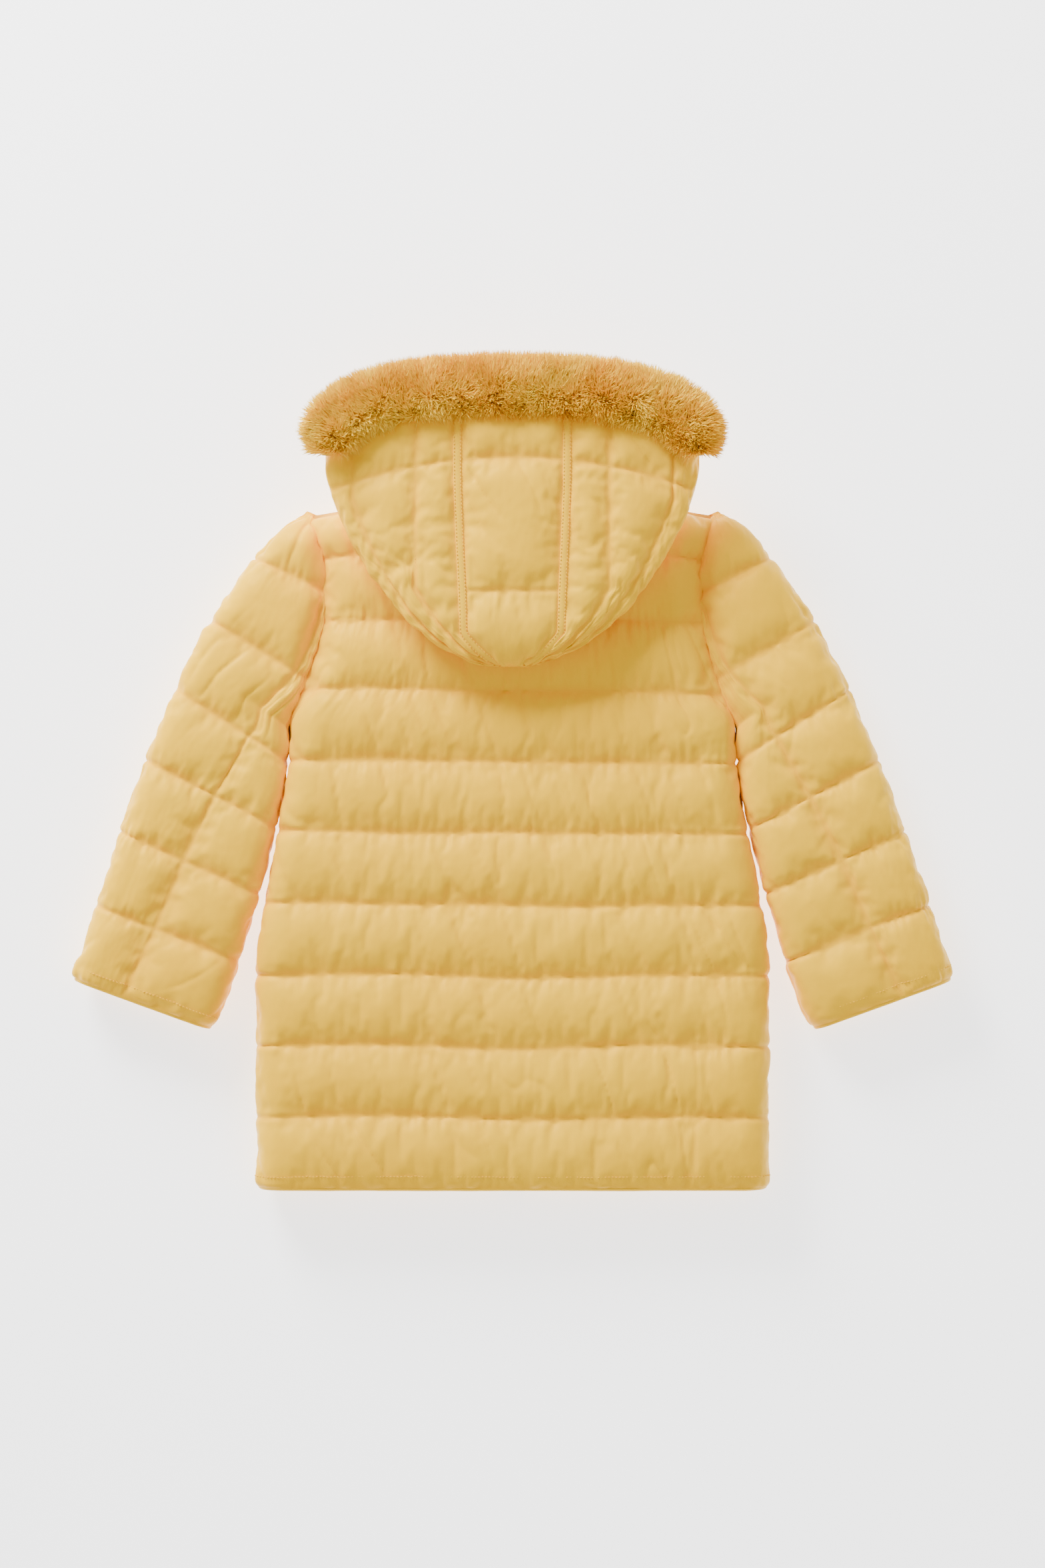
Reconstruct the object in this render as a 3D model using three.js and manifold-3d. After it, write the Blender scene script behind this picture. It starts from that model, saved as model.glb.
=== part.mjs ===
// A child's padded, quilted winter coat with a fur-trimmed hood, lying on its front with its back up.
// Millimetres. x runs across the coat, y from the hem to the hood, z up from the floor.
// The coat's left side, as its wearer has it, is at negative x.
import * as THREE from 'three';
import { mergeVertices } from 'three/addons/utils/BufferGeometryUtils.js';
import Module from 'manifold-3d';

const wasm = await Module();
wasm.setup();

// Body, measured flat, with heights up from the hem
const hemWidth = 502;
const chestWidth = 434;
const crossBackWidth = 366;
const shoulderWidth = 390;
const neckWidth = 184;
const flareHeight = 200;
const armpitHeight = 445;
const shoulderHeight = 657;
const shoulderDrop = 17;
const neckSeamDrop = 10;
const bodyDepth = 62;
const collarHeight = 63;
const collarDepth = 56;

// Sleeves
const sleeveReach = 229;       // how far the cuff's outer corner stands out past the shoulder point
const sleeveDrop = 455;        // how far it lies below the shoulder point
const sleeveCap = 65;          // roundness of the outer edge by the shoulder
const sleeveBow = 30;          // roundness of the outer edge by the elbow
const cuffWidth = 141;
const cuffTilt = 20;           // degrees between the cuff's edge and the hem
const innerSeam = 303;         // from the armpit to the cuff
const sleeveDepth = 56;
const cuffFacingWidth = 26;

// Hood, lying folded down on the back
const hoodWidth = 362;
const hoodLength = 189;        // from its widest line to the end of the crown
const hoodBrimRise = 16;       // its widest line, up from the top of the shoulders
const hoodDepth = 53;
const hoodRoundness = 1.4;
const centrePanelWidth = 106;
const centrePanelTaper = 12;
const brimBandWidth = 36;
const brimBandCurve = 30;

// Fur trim
const furWidth = 58;
const furThickness = 36;
const furInset = 10;           // how much narrower its arch is than the hood, between the ends' centres
const furRise = 64;
const furSquareness = 2.6;
const furLift = 27;            // underside of the fur above the hood's own underside
const brimClearance = 3;       // between the hood's edge and the fur
const furBackingWidth = 30;
const furBackingThickness = 1.5;

// Layers, from the outside in
const shellThickness = 1.2;
const bodyPadding = 12;
const sleevePadding = 9;
const collarPadding = 8;
const hoodPadding = 10;
const liningThickness = 1;
const layerGap = 0.5;
const seamGap = 0.8;
const channelPitch = 68.2;     // between two quilting lines
const channelDip = 4;          // how deep a quilting line lies
const sideDip = 0.6;           // share of that dip at the body's side edges
const sleeveSideDip = 0.5;     // the same at the sleeve's edges
const sleeveTopDip = 0.8;      // and on the sleeve's faces
const hemFacingWidth = 30;

// Front zip
const zipEdgeClearance = 2.5;  // from the slider to each front edge
const zipDepth = 8;            // mid-plane of the zip above the floor
const tapeWidth = 25;
const tapeThickness = 1;
const chainWidth = 3.3;
const chainThickness = 3;
const chainGap = 1.8;
const tapeMargin = 4.8;        // padding stops this far beyond the tape
const liningEdge = 12;
const zipHemClearance = 6;
const boxLength = 9;
const stopLength = 4;
const partGap = 0.4;           // between the chain and the fittings at its ends
const sliderLength = 13;
const sliderWidth = 13;
const sliderPlate = 1.2;
const sliderPost = 1;
const sliderPostLength = 3;
const sliderNose = 0.7;        // width of its narrow end, as a share of the wide end
const sliderShoulder = 0.55;   // where it reaches its full width, as a share of its length
const pullWidth = 7;
const pullLength = 30;
const pullThickness = 1.4;
const pullBar = 0.55;          // half the height of the pull's bar, as a share of its thickness
const windGuardWidth = 56;
const runningGap = 0.4;

// Pockets
const pocketSideMargin = 2;    // from the bag to where the side starts to curve up
const pocketBagWidth = 98;
const pocketBagHeight = 158;
const pocketBase = 132;        // bottom edge above the hem
const pocketSlack = 0.3;       // from the bag to the lining, beyond the layers' own gap
const pocketLift = 5;          // underside of the bag above the floor
const pocketWall = 1;
const pocketMouth = 10;
const pocketMouthHeight = 130;
const weltWidth = 9;

const rad = THREE.MathUtils.degToRad;
const lerp = THREE.MathUtils.lerp;
const beyond = 600;            // longer than anything here, for cutting
const hoodFloor = bodyDepth + seamGap;
const bodyMid = bodyDepth / 2;
const chestHalf = chestWidth / 2;
const shoulderHalf = shoulderWidth / 2;
const neckHalf = neckWidth / 2;
const neckHeight = shoulderHeight + shoulderDrop;
const neckSeamHeight = neckHeight - neckSeamDrop;
const collarTop = neckSeamHeight + collarHeight;
const hoodBrimHeight = neckHeight + hoodBrimRise;
const furSpan = hoodWidth - furInset;
const zipOpening = sliderWidth + zipEdgeClearance * 2;
const chainInner = chainGap / 2;
const chainOuter = chainInner + chainWidth;
const tapeRoom = chainOuter + tapeWidth + tapeMargin;

const finishes = {
  shell: { color: 0xf8cd69, roughness: 0.45, metalness: 0 },
  padding: { color: 0xf3efe6, roughness: 0.95, metalness: 0 },
  lining: { color: 0xf0b94e, roughness: 0.6, metalness: 0 },
  fur: { color: 0xf5b045, roughness: 0.95, metalness: 0 },
  tape: { color: 0xe9b24a, roughness: 0.8, metalness: 0 },
  teeth: { color: 0xf1b840, roughness: 0.4, metalness: 0 },
  metal: { color: 0xb9bbbf, roughness: 0.35, metalness: 1 },
  label: { color: 0xf7f4ee, roughness: 0.7, metalness: 0 },
};

const coat = new THREE.Group();

// ---- solids ----

function toManifold(geometry) {
  const bare = geometry.clone();
  bare.deleteAttribute('normal');
  bare.deleteAttribute('uv');
  const merged = mergeVertices(bare, 1e-4);
  return new wasm.Manifold(new wasm.Mesh({
    numProp: 3,
    vertProperties: new Float32Array(merged.attributes.position.array),
    triVerts: new Uint32Array(merged.index.array),
  }));
}

function toGeometry(manifold) {
  const mesh = manifold.getMesh();
  const geometry = new THREE.BufferGeometry();
  geometry.setAttribute('position', new THREE.BufferAttribute(new Float32Array(mesh.vertProperties), 3));
  geometry.setIndex(new THREE.BufferAttribute(new Uint32Array(mesh.triVerts), 1));
  geometry.computeVertexNormals();
  return geometry;
}

function add(name, manifold, finish) {
  const mesh = new THREE.Mesh(toGeometry(manifold), new THREE.MeshStandardMaterial(finishes[finish]));
  mesh.name = name;
  coat.add(mesh);
}

// A closed skin over a row of rings with the same number of points, with a fan over each end.
// The far end's fan can be given its own middle.
function loft(rings, farMiddle) {
  const count = rings[0].length;
  const points = rings.flat();
  const first = points.length;
  for (const ring of [rings[0], rings[rings.length - 1]]) {
    const middle = new THREE.Vector3();
    ring.forEach((p) => middle.add(p));
    points.push(middle.divideScalar(count));
  }
  if (farMiddle) points[first + 1].copy(farMiddle);
  const index = [];
  for (let i = 0; i < rings.length - 1; i += 1) {
    for (let j = 0; j < count; j += 1) {
      const a = i * count + j;
      const b = i * count + ((j + 1) % count);
      index.push(a, b, b + count, a, b + count, a + count);
    }
  }
  const last = (rings.length - 1) * count;
  for (let j = 0; j < count; j += 1) {
    const k = (j + 1) % count;
    index.push(first, k, j);
    index.push(first + 1, last + j, last + k);
  }
  let volume = 0;
  for (let i = 0; i < index.length; i += 3) {
    const [a, b, c] = [points[index[i]], points[index[i + 1]], points[index[i + 2]]];
    volume += a.dot(new THREE.Vector3().crossVectors(b, c));
  }
  if (volume < 0) index.reverse();
  const geometry = new THREE.BufferGeometry().setFromPoints(points);
  geometry.setIndex(index);
  return toManifold(geometry);
}

// A flat outline raised from one height to another
function prism(outline, low, high) {
  const shape = new THREE.Shape(outline.map(([x, y]) => new THREE.Vector2(x, y)));
  const geometry = new THREE.ExtrudeGeometry(shape, { depth: high - low, bevelEnabled: false });
  geometry.translate(0, 0, low);
  return toManifold(geometry);
}

function box(x0, x1, y0, y1, z0, z1) {
  const geometry = new THREE.BoxGeometry(x1 - x0, y1 - y0, z1 - z0);
  geometry.translate((x0 + x1) / 2, (y0 + y1) / 2, (z0 + z1) / 2);
  return toManifold(geometry);
}

function mirrored(manifold) {
  return manifold.mirror([1, 0, 0]);
}

const above = (z) => box(-beyond * 2, beyond * 2, -beyond, beyond * 3, z, beyond);
const below = (z) => box(-beyond * 2, beyond * 2, -beyond, beyond * 3, -beyond, z);

const rounding = 0.98;          // most of a half width that its rounded end can take up

// A closed section: round ends, flat floor side, upper side that dips at the quilting lines.
// The section is given as pairs of across and up, measured from its centre.
function section(halfWidth, rise, drop, endRadius, columns) {
  const radius = Math.min(endRadius, halfWidth * rounding);
  const core = halfWidth - radius;
  const pairs = [];
  for (let step = -2; step <= 2; step += 1) {
    const turn = rad(step * 45);
    pairs.push([core + radius * Math.cos(turn), Math.sin(turn) * (step > 0 ? rise : drop)]);
  }
  const inside = columns.filter((column) => Math.abs(column) < core);
  inside.slice().sort((a, b) => b - a).forEach((column) => pairs.push([column, rise]));
  for (let step = 2; step >= -2; step -= 1) {
    const turn = rad(step * 45);
    pairs.push([-core - radius * Math.cos(turn), Math.sin(turn) * (step > 0 ? rise : drop)]);
  }
  inside.slice().sort((a, b) => a - b).forEach((column) => pairs.push([column, -drop]));
  return pairs;
}

// 1 on a quilting line, 0 midway between two
function dipAt(along) {
  const share = along / channelPitch - Math.floor(along / channelPitch);
  return channelDip * Math.abs(1 - 2 * share);
}

// How much of its height a rounded edge has at a distance in from the edge
function roundOver(distance, radius) {
  const t = THREE.MathUtils.clamp(1 - distance / radius, 0, 1);
  return Math.sqrt(1 - t * t);
}

// ---- the body ----

function bodyHalfAt(y) {
  return lerp(hemWidth / 2, chestHalf, THREE.MathUtils.smoothstep(y, flareHeight, armpitHeight));
}

function armholeHalfAt(y) {
  const t = THREE.MathUtils.clamp((y - armpitHeight) / (shoulderHeight - armpitHeight), 0, 1);
  const control = crossBackWidth - (chestHalf + shoulderHalf) / 2;
  return (1 - t) ** 2 * chestHalf + 2 * t * (1 - t) * control + t * t * shoulderHalf;
}

const armholeOverrun = 45;
const neckOverrun = 40;
const neckCutHalf = neckHalf + 5;
const neckColumn = neckHalf + 4;
const armpitStep = 1.5;
const shoulderEase = 1.25;     // inner layers stop a little further in at the shoulder fold
const foldRows = [1, 0.5, 0.16, 0.03];   // rows round the shoulder fold, in radii from its edge

function bodySolid(inset) {
  const radius = bodyMid - inset;
  const top = neckHeight - inset * shoulderEase;
  const rows = [-hemFacingWidth];
  for (let y = 0; y < top - radius; y += channelPitch / 2) rows.push(y);
  rows.push(armpitHeight, armpitHeight + armpitStep);
  foldRows.forEach((share) => rows.push(top - radius * share));
  rows.sort((a, b) => a - b);
  const columns = [neckColumn, neckHalf, 0, -neckHalf, -neckColumn];
  const rings = rows.map((y) => {
    const free = y > armpitHeight;
    const dip = dipAt(Math.max(y, 0));
    const outline = free ? armholeHalfAt(y) + armholeOverrun : bodyHalfAt(y) - dip * sideDip;
    const halfWidth = outline - inset;
    const rise = radius - dip;
    const edge = roundOver(top - y, radius);
    const weight = THREE.MathUtils.clamp((y - armpitHeight) / (neckHeight - armpitHeight), 0, 1) ** 4;
    return section(halfWidth, rise, radius, radius, columns).map(([x, up]) => {
      const atNeck = Math.abs(x) < neckHalf + 1;
      const slope = shoulderDrop / (shoulderHalf - neckHalf);
      const shift = atNeck ? neckOverrun : -slope * (Math.abs(x) - neckHalf);
      return new THREE.Vector3(x, y + weight * shift, bodyMid + up * (atNeck ? 1 : edge));
    });
  });
  const farthest = Math.max(...rings[rings.length - 1].map((p) => p.y));
  return loft(rings, new THREE.Vector3(0, farthest, bodyMid));
}

// The body's outline in plan, grown by a gap: armholes above, side edges below
function bodyOutline(gap, followSides) {
  const right = [];
  if (followSides) {
    for (let y = -beyond / 4; y < armpitHeight - 1; y += channelPitch / 2) {
      right.push([bodyHalfAt(y) + gap, y]);
    }
  } else {
    right.push([beyond, 0], [beyond, armpitHeight + gap]);
  }
  for (let i = 0; i <= 6; i += 1) {
    const y = lerp(armpitHeight, shoulderHeight, i / 6);
    right.push([armholeHalfAt(y) + gap, y + (i === 0 ? gap : 0)]);
  }
  right.push([shoulderHalf + gap, beyond * 2]);
  const left = right.map(([x, y]) => [-x, y]).reverse();
  return right.concat(left);
}

function neckCut(gap) {
  return box(-neckCutHalf - gap, neckCutHalf + gap, neckSeamHeight - gap, beyond * 2, -beyond, beyond);
}

const bodyRegion = prism(bodyOutline(0, false), -beyond, beyond).subtract(neckCut(seamGap));
const backRegion = bodyRegion.intersect(above(bodyMid + seamGap / 2));
const frontRegion = bodyRegion.intersect(below(bodyMid - seamGap / 2));
const leftOf = (x) => box(-beyond * 2, -x, -beyond, beyond * 3, -beyond, beyond);
const rightOf = (x) => box(x, beyond * 2, -beyond, beyond * 3, -beyond, beyond);

function layer(solidAt, outer, thickness) {
  return solidAt(outer).subtract(solidAt(outer + thickness));
}

const paddingInset = shellThickness + layerGap;
const bodyLiningInset = paddingInset + bodyPadding + layerGap;
const cavityInset = bodyLiningInset + liningThickness;
const facingTop = hemFacingWidth;
const aboveHemFacing = box(-beyond, beyond, facingTop + seamGap, beyond * 2, -beyond, beyond);
const belowHemFacing = box(-beyond, beyond, -1, facingTop, -beyond, beyond);
const hemTurn = 3;
const aboveHem = box(-beyond, beyond, hemTurn, beyond * 2, -beyond, beyond);

const bodyShell = layer(bodySolid, 0, shellThickness);
const bodyWadding = layer(bodySolid, paddingInset, bodyPadding).intersect(aboveHem);
const bodyInner = layer(bodySolid, bodyLiningInset, liningThickness);

// Pocket bags lie in a hollow of the front padding, and open through the shell
const pocketTop = pocketBase + pocketBagHeight;
const pocketOuter = bodyHalfAt(pocketTop) - bodyMid - pocketSideMargin;
const pocketInner = pocketOuter - pocketBagWidth;
const pocketDepth = bodyLiningInset - layerGap - pocketSlack - pocketLift;
const mouthOuter = pocketOuter - 2;
const mouthInner = mouthOuter - pocketMouth;
const mouthBase = pocketBase + (pocketBagHeight - pocketMouthHeight) / 2;
const mouthTop = mouthBase + pocketMouthHeight;
const pocketRoom = 2;

function rightPocketRoom() {
  const hollow = box(pocketInner - pocketRoom, pocketOuter + pocketRoom, pocketBase - pocketRoom,
    pocketTop + pocketRoom, pocketLift - layerGap, beyond / 10);
  return hollow.add(rightPocketMouth(layerGap));
}

// All the depth of the front over the pocket's hollow: the padding under the bag is a piece of its own
function rightPocketColumn(gap) {
  const room = pocketRoom - gap;
  return box(pocketInner - room, pocketOuter + room, pocketBase - room, pocketTop + room, -1, bodyMid);
}

function rightPocketMouth(gap) {
  const inner = mouthInner - weltWidth - gap;
  return box(inner, mouthOuter + gap, mouthBase - gap, mouthTop + gap, -1, pocketLift + 1);
}

function rightPocketBag() {
  const top = pocketLift + pocketDepth;
  const outside = box(pocketInner, pocketOuter, pocketBase, pocketTop, pocketLift, top);
  const inside = box(pocketInner + pocketWall, pocketOuter - pocketWall, pocketBase + pocketWall,
    pocketTop - pocketWall, pocketLift + pocketWall, top - pocketWall);
  const mouth = box(mouthInner, mouthOuter - pocketWall, mouthBase, mouthTop,
    0, pocketLift + pocketWall * 2);
  return outside.subtract(inside).subtract(mouth);
}

function rightWelt() {
  return box(mouthInner - weltWidth, mouthInner - layerGap, mouthBase, mouthTop, 0, shellThickness * 2);
}

function buildBody() {
  add('back_shell', bodyShell.intersect(backRegion), 'shell');
  add('back_padding', bodyWadding.intersect(backRegion), 'padding');
  add('back_lining', bodyInner.intersect(backRegion).intersect(aboveHemFacing), 'lining');
  add('back_hem_facing', bodyInner.intersect(backRegion).intersect(belowHemFacing), 'shell');
  const shell = bodyShell.intersect(frontRegion).intersect(rightOf(zipOpening / 2));
  const edgeReturn = box(zipOpening / 2, zipOpening / 2 + shellThickness, 0, neckSeamHeight - seamGap,
    shellThickness / 2, zipDepth - tapeThickness / 2 - layerGap);
  const wadding = bodyWadding.intersect(frontRegion).intersect(rightOf(tapeRoom));
  const padding = wadding.subtract(rightPocketRoom());
  const inner = bodyInner.intersect(frontRegion).intersect(rightOf(liningEdge));
  const pieces = [
    ['front_shell', shell.add(edgeReturn).subtract(rightPocketMouth(layerGap)), 'shell'],
    ['front_padding', padding.subtract(rightPocketColumn(0)), 'padding'],
    ['pocket_padding', padding.intersect(rightPocketColumn(seamGap)), 'padding'],
    ['front_lining', inner.intersect(aboveHemFacing), 'lining'],
    ['front_hem_facing', inner.intersect(belowHemFacing), 'shell'],
    ['pocket_bag', rightPocketBag(), 'lining'],
    ['pocket_welt', rightWelt(), 'shell'],
  ];
  pieces.forEach(([name, solid, finish]) => {
    add(`right_${name}`, solid, finish);
    add(`left_${name}`, mirrored(solid), finish);
  });
}

// ---- the collar ----

function collarSolid(inset) {
  const radius = collarDepth / 2 - inset;
  const outline = section(neckHalf - inset, radius, radius, radius, []);
  const rings = [neckSeamHeight, collarTop].map((y) => (
    outline.map(([x, up]) => new THREE.Vector3(x, y, collarDepth / 2 + up))));
  return loft(rings);
}

// A layer open at both ends, whose inside runs on past them
function collarLayer(outer, thickness) {
  const inner = outer + thickness;
  const radius = collarDepth / 2 - inner;
  const outline = section(neckHalf - inner, radius, radius, radius, []);
  const rings = [neckSeamHeight - 1, collarTop + 1].map((y) => (
    outline.map(([x, up]) => new THREE.Vector3(x, y, collarDepth / 2 + up))));
  return collarSolid(outer).subtract(loft(rings));
}

const collarPaddingInset = shellThickness + layerGap;
const collarLiningInset = collarPaddingInset + collarPadding + layerGap;

function buildCollar() {
  const slit = (half) => box(-half, half, 0, beyond * 2, -1, collarDepth / 2);
  add('collar_shell', collarLayer(0, shellThickness).subtract(slit(zipOpening / 2)), 'shell');
  const padding = collarLayer(collarPaddingInset, collarPadding);
  add('collar_padding', padding.subtract(slit(tapeRoom)), 'padding');
  const lining = collarLayer(collarLiningInset, liningThickness);
  add('collar_lining', lining.subtract(slit(liningEdge)), 'lining');
}

// ---- zip, wind guard and neck fittings ----

const zipBase = zipHemClearance;
const zipTop = collarTop - 2;
const chainLow = zipDepth - chainThickness / 2;
const chainHigh = zipDepth + chainThickness / 2;
const sliderTop = zipTop - stopLength - runningGap * 2;
const outerPlateHigh = chainLow - runningGap;
const outerPlateLow = outerPlateHigh - sliderPlate;
const bailLength = 8;
const bailWall = 0.8;
const bailHalf = 1;
const bailRoot = 0.2;          // how far its legs run into the plate
const eyeSide = 0.5;           // room beside it in the pull's eye
const bailLow = outerPlateLow - pullThickness - runningGap * 3;
const pullPivot = sliderTop - sliderLength / 2;

function buildZip() {
  const tapeLow = zipDepth - tapeThickness / 2;
  const tape = box(chainOuter + partGap, chainOuter + tapeWidth, zipBase, zipTop,
    tapeLow, tapeLow + tapeThickness);
  const chain = box(chainInner, chainOuter, zipBase + boxLength + partGap, zipTop - stopLength - partGap,
    chainLow, chainHigh);
  const stop = box(chainInner, chainOuter, zipTop - stopLength, zipTop, chainLow, chainHigh);
  add('zip_tape_right', tape, 'tape');
  add('zip_tape_left', mirrored(tape), 'tape');
  add('zip_teeth_right', chain, 'teeth');
  add('zip_teeth_left', mirrored(chain), 'teeth');
  add('zip_top_stop_right', stop, 'metal');
  add('zip_top_stop_left', mirrored(stop), 'metal');
  const retainer = box(-0.3, chainOuter, zipBase, zipBase + boxLength, chainLow, chainHigh);
  const pin = box(-chainOuter, -0.7, zipBase + 1, zipBase + boxLength, chainLow + 0.5, chainHigh - 0.5);
  add('zip_retaining_box', retainer, 'metal');
  add('zip_insertion_pin', pin, 'metal');
}

function buildSlider() {
  const y0 = sliderTop - sliderLength;
  const half = sliderWidth / 2;
  const nose = half * sliderNose;
  const shoulder = y0 + sliderLength * sliderShoulder;
  const plateOutline = [[-nose, y0], [nose, y0], [half, shoulder],
    [half, sliderTop], [-half, sliderTop], [-half, shoulder]];
  const outerPlate = prism(plateOutline, outerPlateLow, outerPlateHigh);
  const innerPlateLow = chainHigh + runningGap;
  const innerPlate = prism(plateOutline, innerPlateLow, innerPlateLow + sliderPlate);
  const postHalf = sliderPost / 2;
  const post = box(-postHalf, postHalf, sliderTop - sliderPostLength, sliderTop,
    outerPlateLow, innerPlateLow + sliderPlate);
  const bailY = pullPivot - bailLength / 2;
  const legs = [bailY, bailY + bailLength - bailWall].map((y) => (
    box(-bailHalf, bailHalf, y, y + bailWall, bailLow - bailWall, outerPlateLow + bailRoot)));
  const bridge = box(-bailHalf, bailHalf, bailY, bailY + bailLength, bailLow - bailWall, bailLow);
  add('zip_slider', outerPlate.add(innerPlate).add(post).add(legs[0]).add(legs[1]).add(bridge), 'metal');
  const pullHigh = outerPlateLow - runningGap;
  const pullLow = pullHigh - pullThickness;
  const barHalf = pullThickness * pullBar;
  const pullTop = pullPivot + barHalf;
  const blade = box(-pullWidth / 2, pullWidth / 2, pullTop - pullLength, pullTop, pullLow, pullHigh);
  const reach = bailLength / 2 + bailWall;
  const eyeHalf = bailHalf + eyeSide;
  const eye = box(-eyeHalf, eyeHalf, pullPivot - reach, pullPivot - barHalf, pullLow - 1, pullHigh + 1);
  add('zip_pull', blade.subtract(eye), 'metal');
}

// Hanger loop and label at the back of the neck
const loopHalf = 30;
const loopDrop = 24;
const loopStrap = 6;
const loopRise = 4;            // below the neck seam
const labelHalf = 20;
const labelHeight = 30;
const labelThickness = 0.6;
const guardBase = hemTurn + 5;
const guardTop = collarTop - 8;

function buildFittings() {
  const guardLow = cavityInset + layerGap * 2;
  const guardHalf = windGuardWidth / 2;
  add('wind_guard', box(-guardHalf, guardHalf, guardBase, guardTop,
    guardLow, guardLow + shellThickness), 'shell');
  const loopTop = neckSeamHeight - loopRise;
  const loopBase = loopTop - loopDrop;
  const outer = loopHalf;
  const strap = loopStrap;
  const loopHigh = bodyDepth - cavityInset - channelDip - 1;
  const loop = prism([[-outer, loopTop], [-outer, loopBase], [outer, loopBase], [outer, loopTop],
    [outer - strap, loopTop], [outer - strap, loopBase + strap], [strap - outer, loopBase + strap],
    [strap - outer, loopTop]], loopHigh - shellThickness, loopHigh);
  add('hanger_loop', loop, 'tape');
  const labelTop = loopBase - loopRise;
  add('neck_label', box(-labelHalf, labelHalf, labelTop - labelHeight, labelTop,
    loopHigh - labelThickness, loopHigh), 'label');
}

// ---- the sleeves, made for the right side ----

const cuffOuter = new THREE.Vector2(shoulderHalf + sleeveReach, shoulderHeight - sleeveDrop);
const shoulderPoint = new THREE.Vector2(shoulderHalf, shoulderHeight);
const chord = cuffOuter.clone().sub(shoulderPoint);
const bulge = new THREE.Vector2(-chord.y, chord.x).normalize();
const outerEdge = new THREE.CubicBezierCurve(
  shoulderPoint,
  shoulderPoint.clone().addScaledVector(chord, 0.25).addScaledVector(bulge, sleeveCap),
  shoulderPoint.clone().addScaledVector(chord, 0.62).addScaledVector(bulge, sleeveBow),
  cuffOuter,
);
const cuffInner = new THREE.Vector2(
  cuffOuter.x - cuffWidth * Math.cos(rad(cuffTilt)),
  cuffOuter.y - cuffWidth * Math.sin(rad(cuffTilt)),
);
const sleeveClearance = 2.5;
const cuffStandoff = cuffInner.x - bodyHalfAt(cuffInner.y);
const armpitRow = armpitHeight + 3;
const sleeveLines = 7;
const highestRow = 0.92;       // how far up the armhole its rows reach, as a share of its height
const shoulderRow = 0.97;

// The inner edge: up the armhole above the armpit, beside the body below it, then out to the cuff
function innerEdgeAt(along) {
  if (along < 0) {
    const y = Math.min(armpitRow - along, shoulderHeight);
    return new THREE.Vector2(armholeHalfAt(y), y);
  }
  const t = along / innerSeam;
  const y = lerp(armpitRow, cuffInner.y, t);
  return new THREE.Vector2(bodyHalfAt(y) + sleeveClearance + (cuffStandoff - sleeveClearance) * t ** 4, y);
}

const firstLineBelowArmpit = 35;
const armholeLength = shoulderHeight - armpitRow;
const capReach = 40;
const sleeveMid = sleeveDepth / 2;
const cuffOverrun = 2;         // past the cuff, to be cut off
const downSleeve = new THREE.Vector2(Math.sin(rad(cuffTilt)), -Math.cos(rad(cuffTilt)));

// Rows across the sleeve, from the shoulder to the cuff: each joins the outer edge to the inner edge
function sleeveRows() {
  const rows = [];
  const innerPitch = (innerSeam - firstLineBelowArmpit) / (sleeveLines - 3);
  for (let half = 1; half <= sleeveLines * 2; half += 1) {
    const outer = outerEdge.getPointAt(half / (sleeveLines * 2));
    const below = firstLineBelowArmpit + innerPitch * (half / 2 - 3);
    const along = Math.max(below, -armholeLength * highestRow);
    rows.push({ outer, along, dip: half % 2 ? 0 : channelDip });
  }
  const start = shoulderPoint.clone().add(new THREE.Vector2(1, 3));
  rows.unshift({ outer: start, along: -armholeLength * shoulderRow, dip: channelDip });
  const joined = rows.findIndex((row) => row.along > 0);
  const before = rows[joined - 1];
  const after = rows[joined];
  const t = -before.along / (after.along - before.along);
  const outer = before.outer.clone().lerp(after.outer, t);
  rows.splice(joined, 0, { outer, along: 0, dip: lerp(before.dip, after.dip, t) });
  return rows;
}

function sleeveSolid(inset) {
  const radius = sleeveMid - inset;
  const rings = sleeveRows().map(({ outer, along, dip }) => {
    const inner = innerEdgeAt(along);
    const across = inner.clone().sub(outer).normalize();
    if (along < 0) inner.addScaledVector(across, capReach);
    const halfWidth = outer.distanceTo(inner) / 2;
    const centre = outer.clone().add(inner).divideScalar(2);
    const half = halfWidth - inset - dip * sleeveSideDip;
    return section(half, radius - dip * sleeveTopDip, radius, radius, []).map(([a, up]) => (
      new THREE.Vector3(centre.x + across.x * a, centre.y + across.y * a, sleeveMid + up)));
  });
  const onward = new THREE.Vector3(downSleeve.x, downSleeve.y, 0).multiplyScalar(cuffOverrun);
  rings.push(rings[rings.length - 1].map((p) => p.clone().add(onward)));
  return loft(rings);
}

// Everything beyond a line across the cuff, a distance up the sleeve
function beyondCuff(distance) {
  const across = new THREE.Vector2(downSleeve.y, -downSleeve.x);
  const corner = cuffOuter.clone().addScaledVector(downSleeve, -distance);
  const a = corner.clone().addScaledVector(across, beyond / 4);
  const b = corner.clone().addScaledVector(across, -beyond);
  const far = downSleeve.clone().multiplyScalar(beyond / 4);
  const corners = [a, b, b.clone().add(far), a.clone().add(far)];
  return prism(corners.map((p) => [p.x, p.y]), -beyond, beyond);
}

const sleevePaddingInset = shellThickness + layerGap;
const sleeveLiningInset = sleevePaddingInset + sleevePadding + layerGap;

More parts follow.
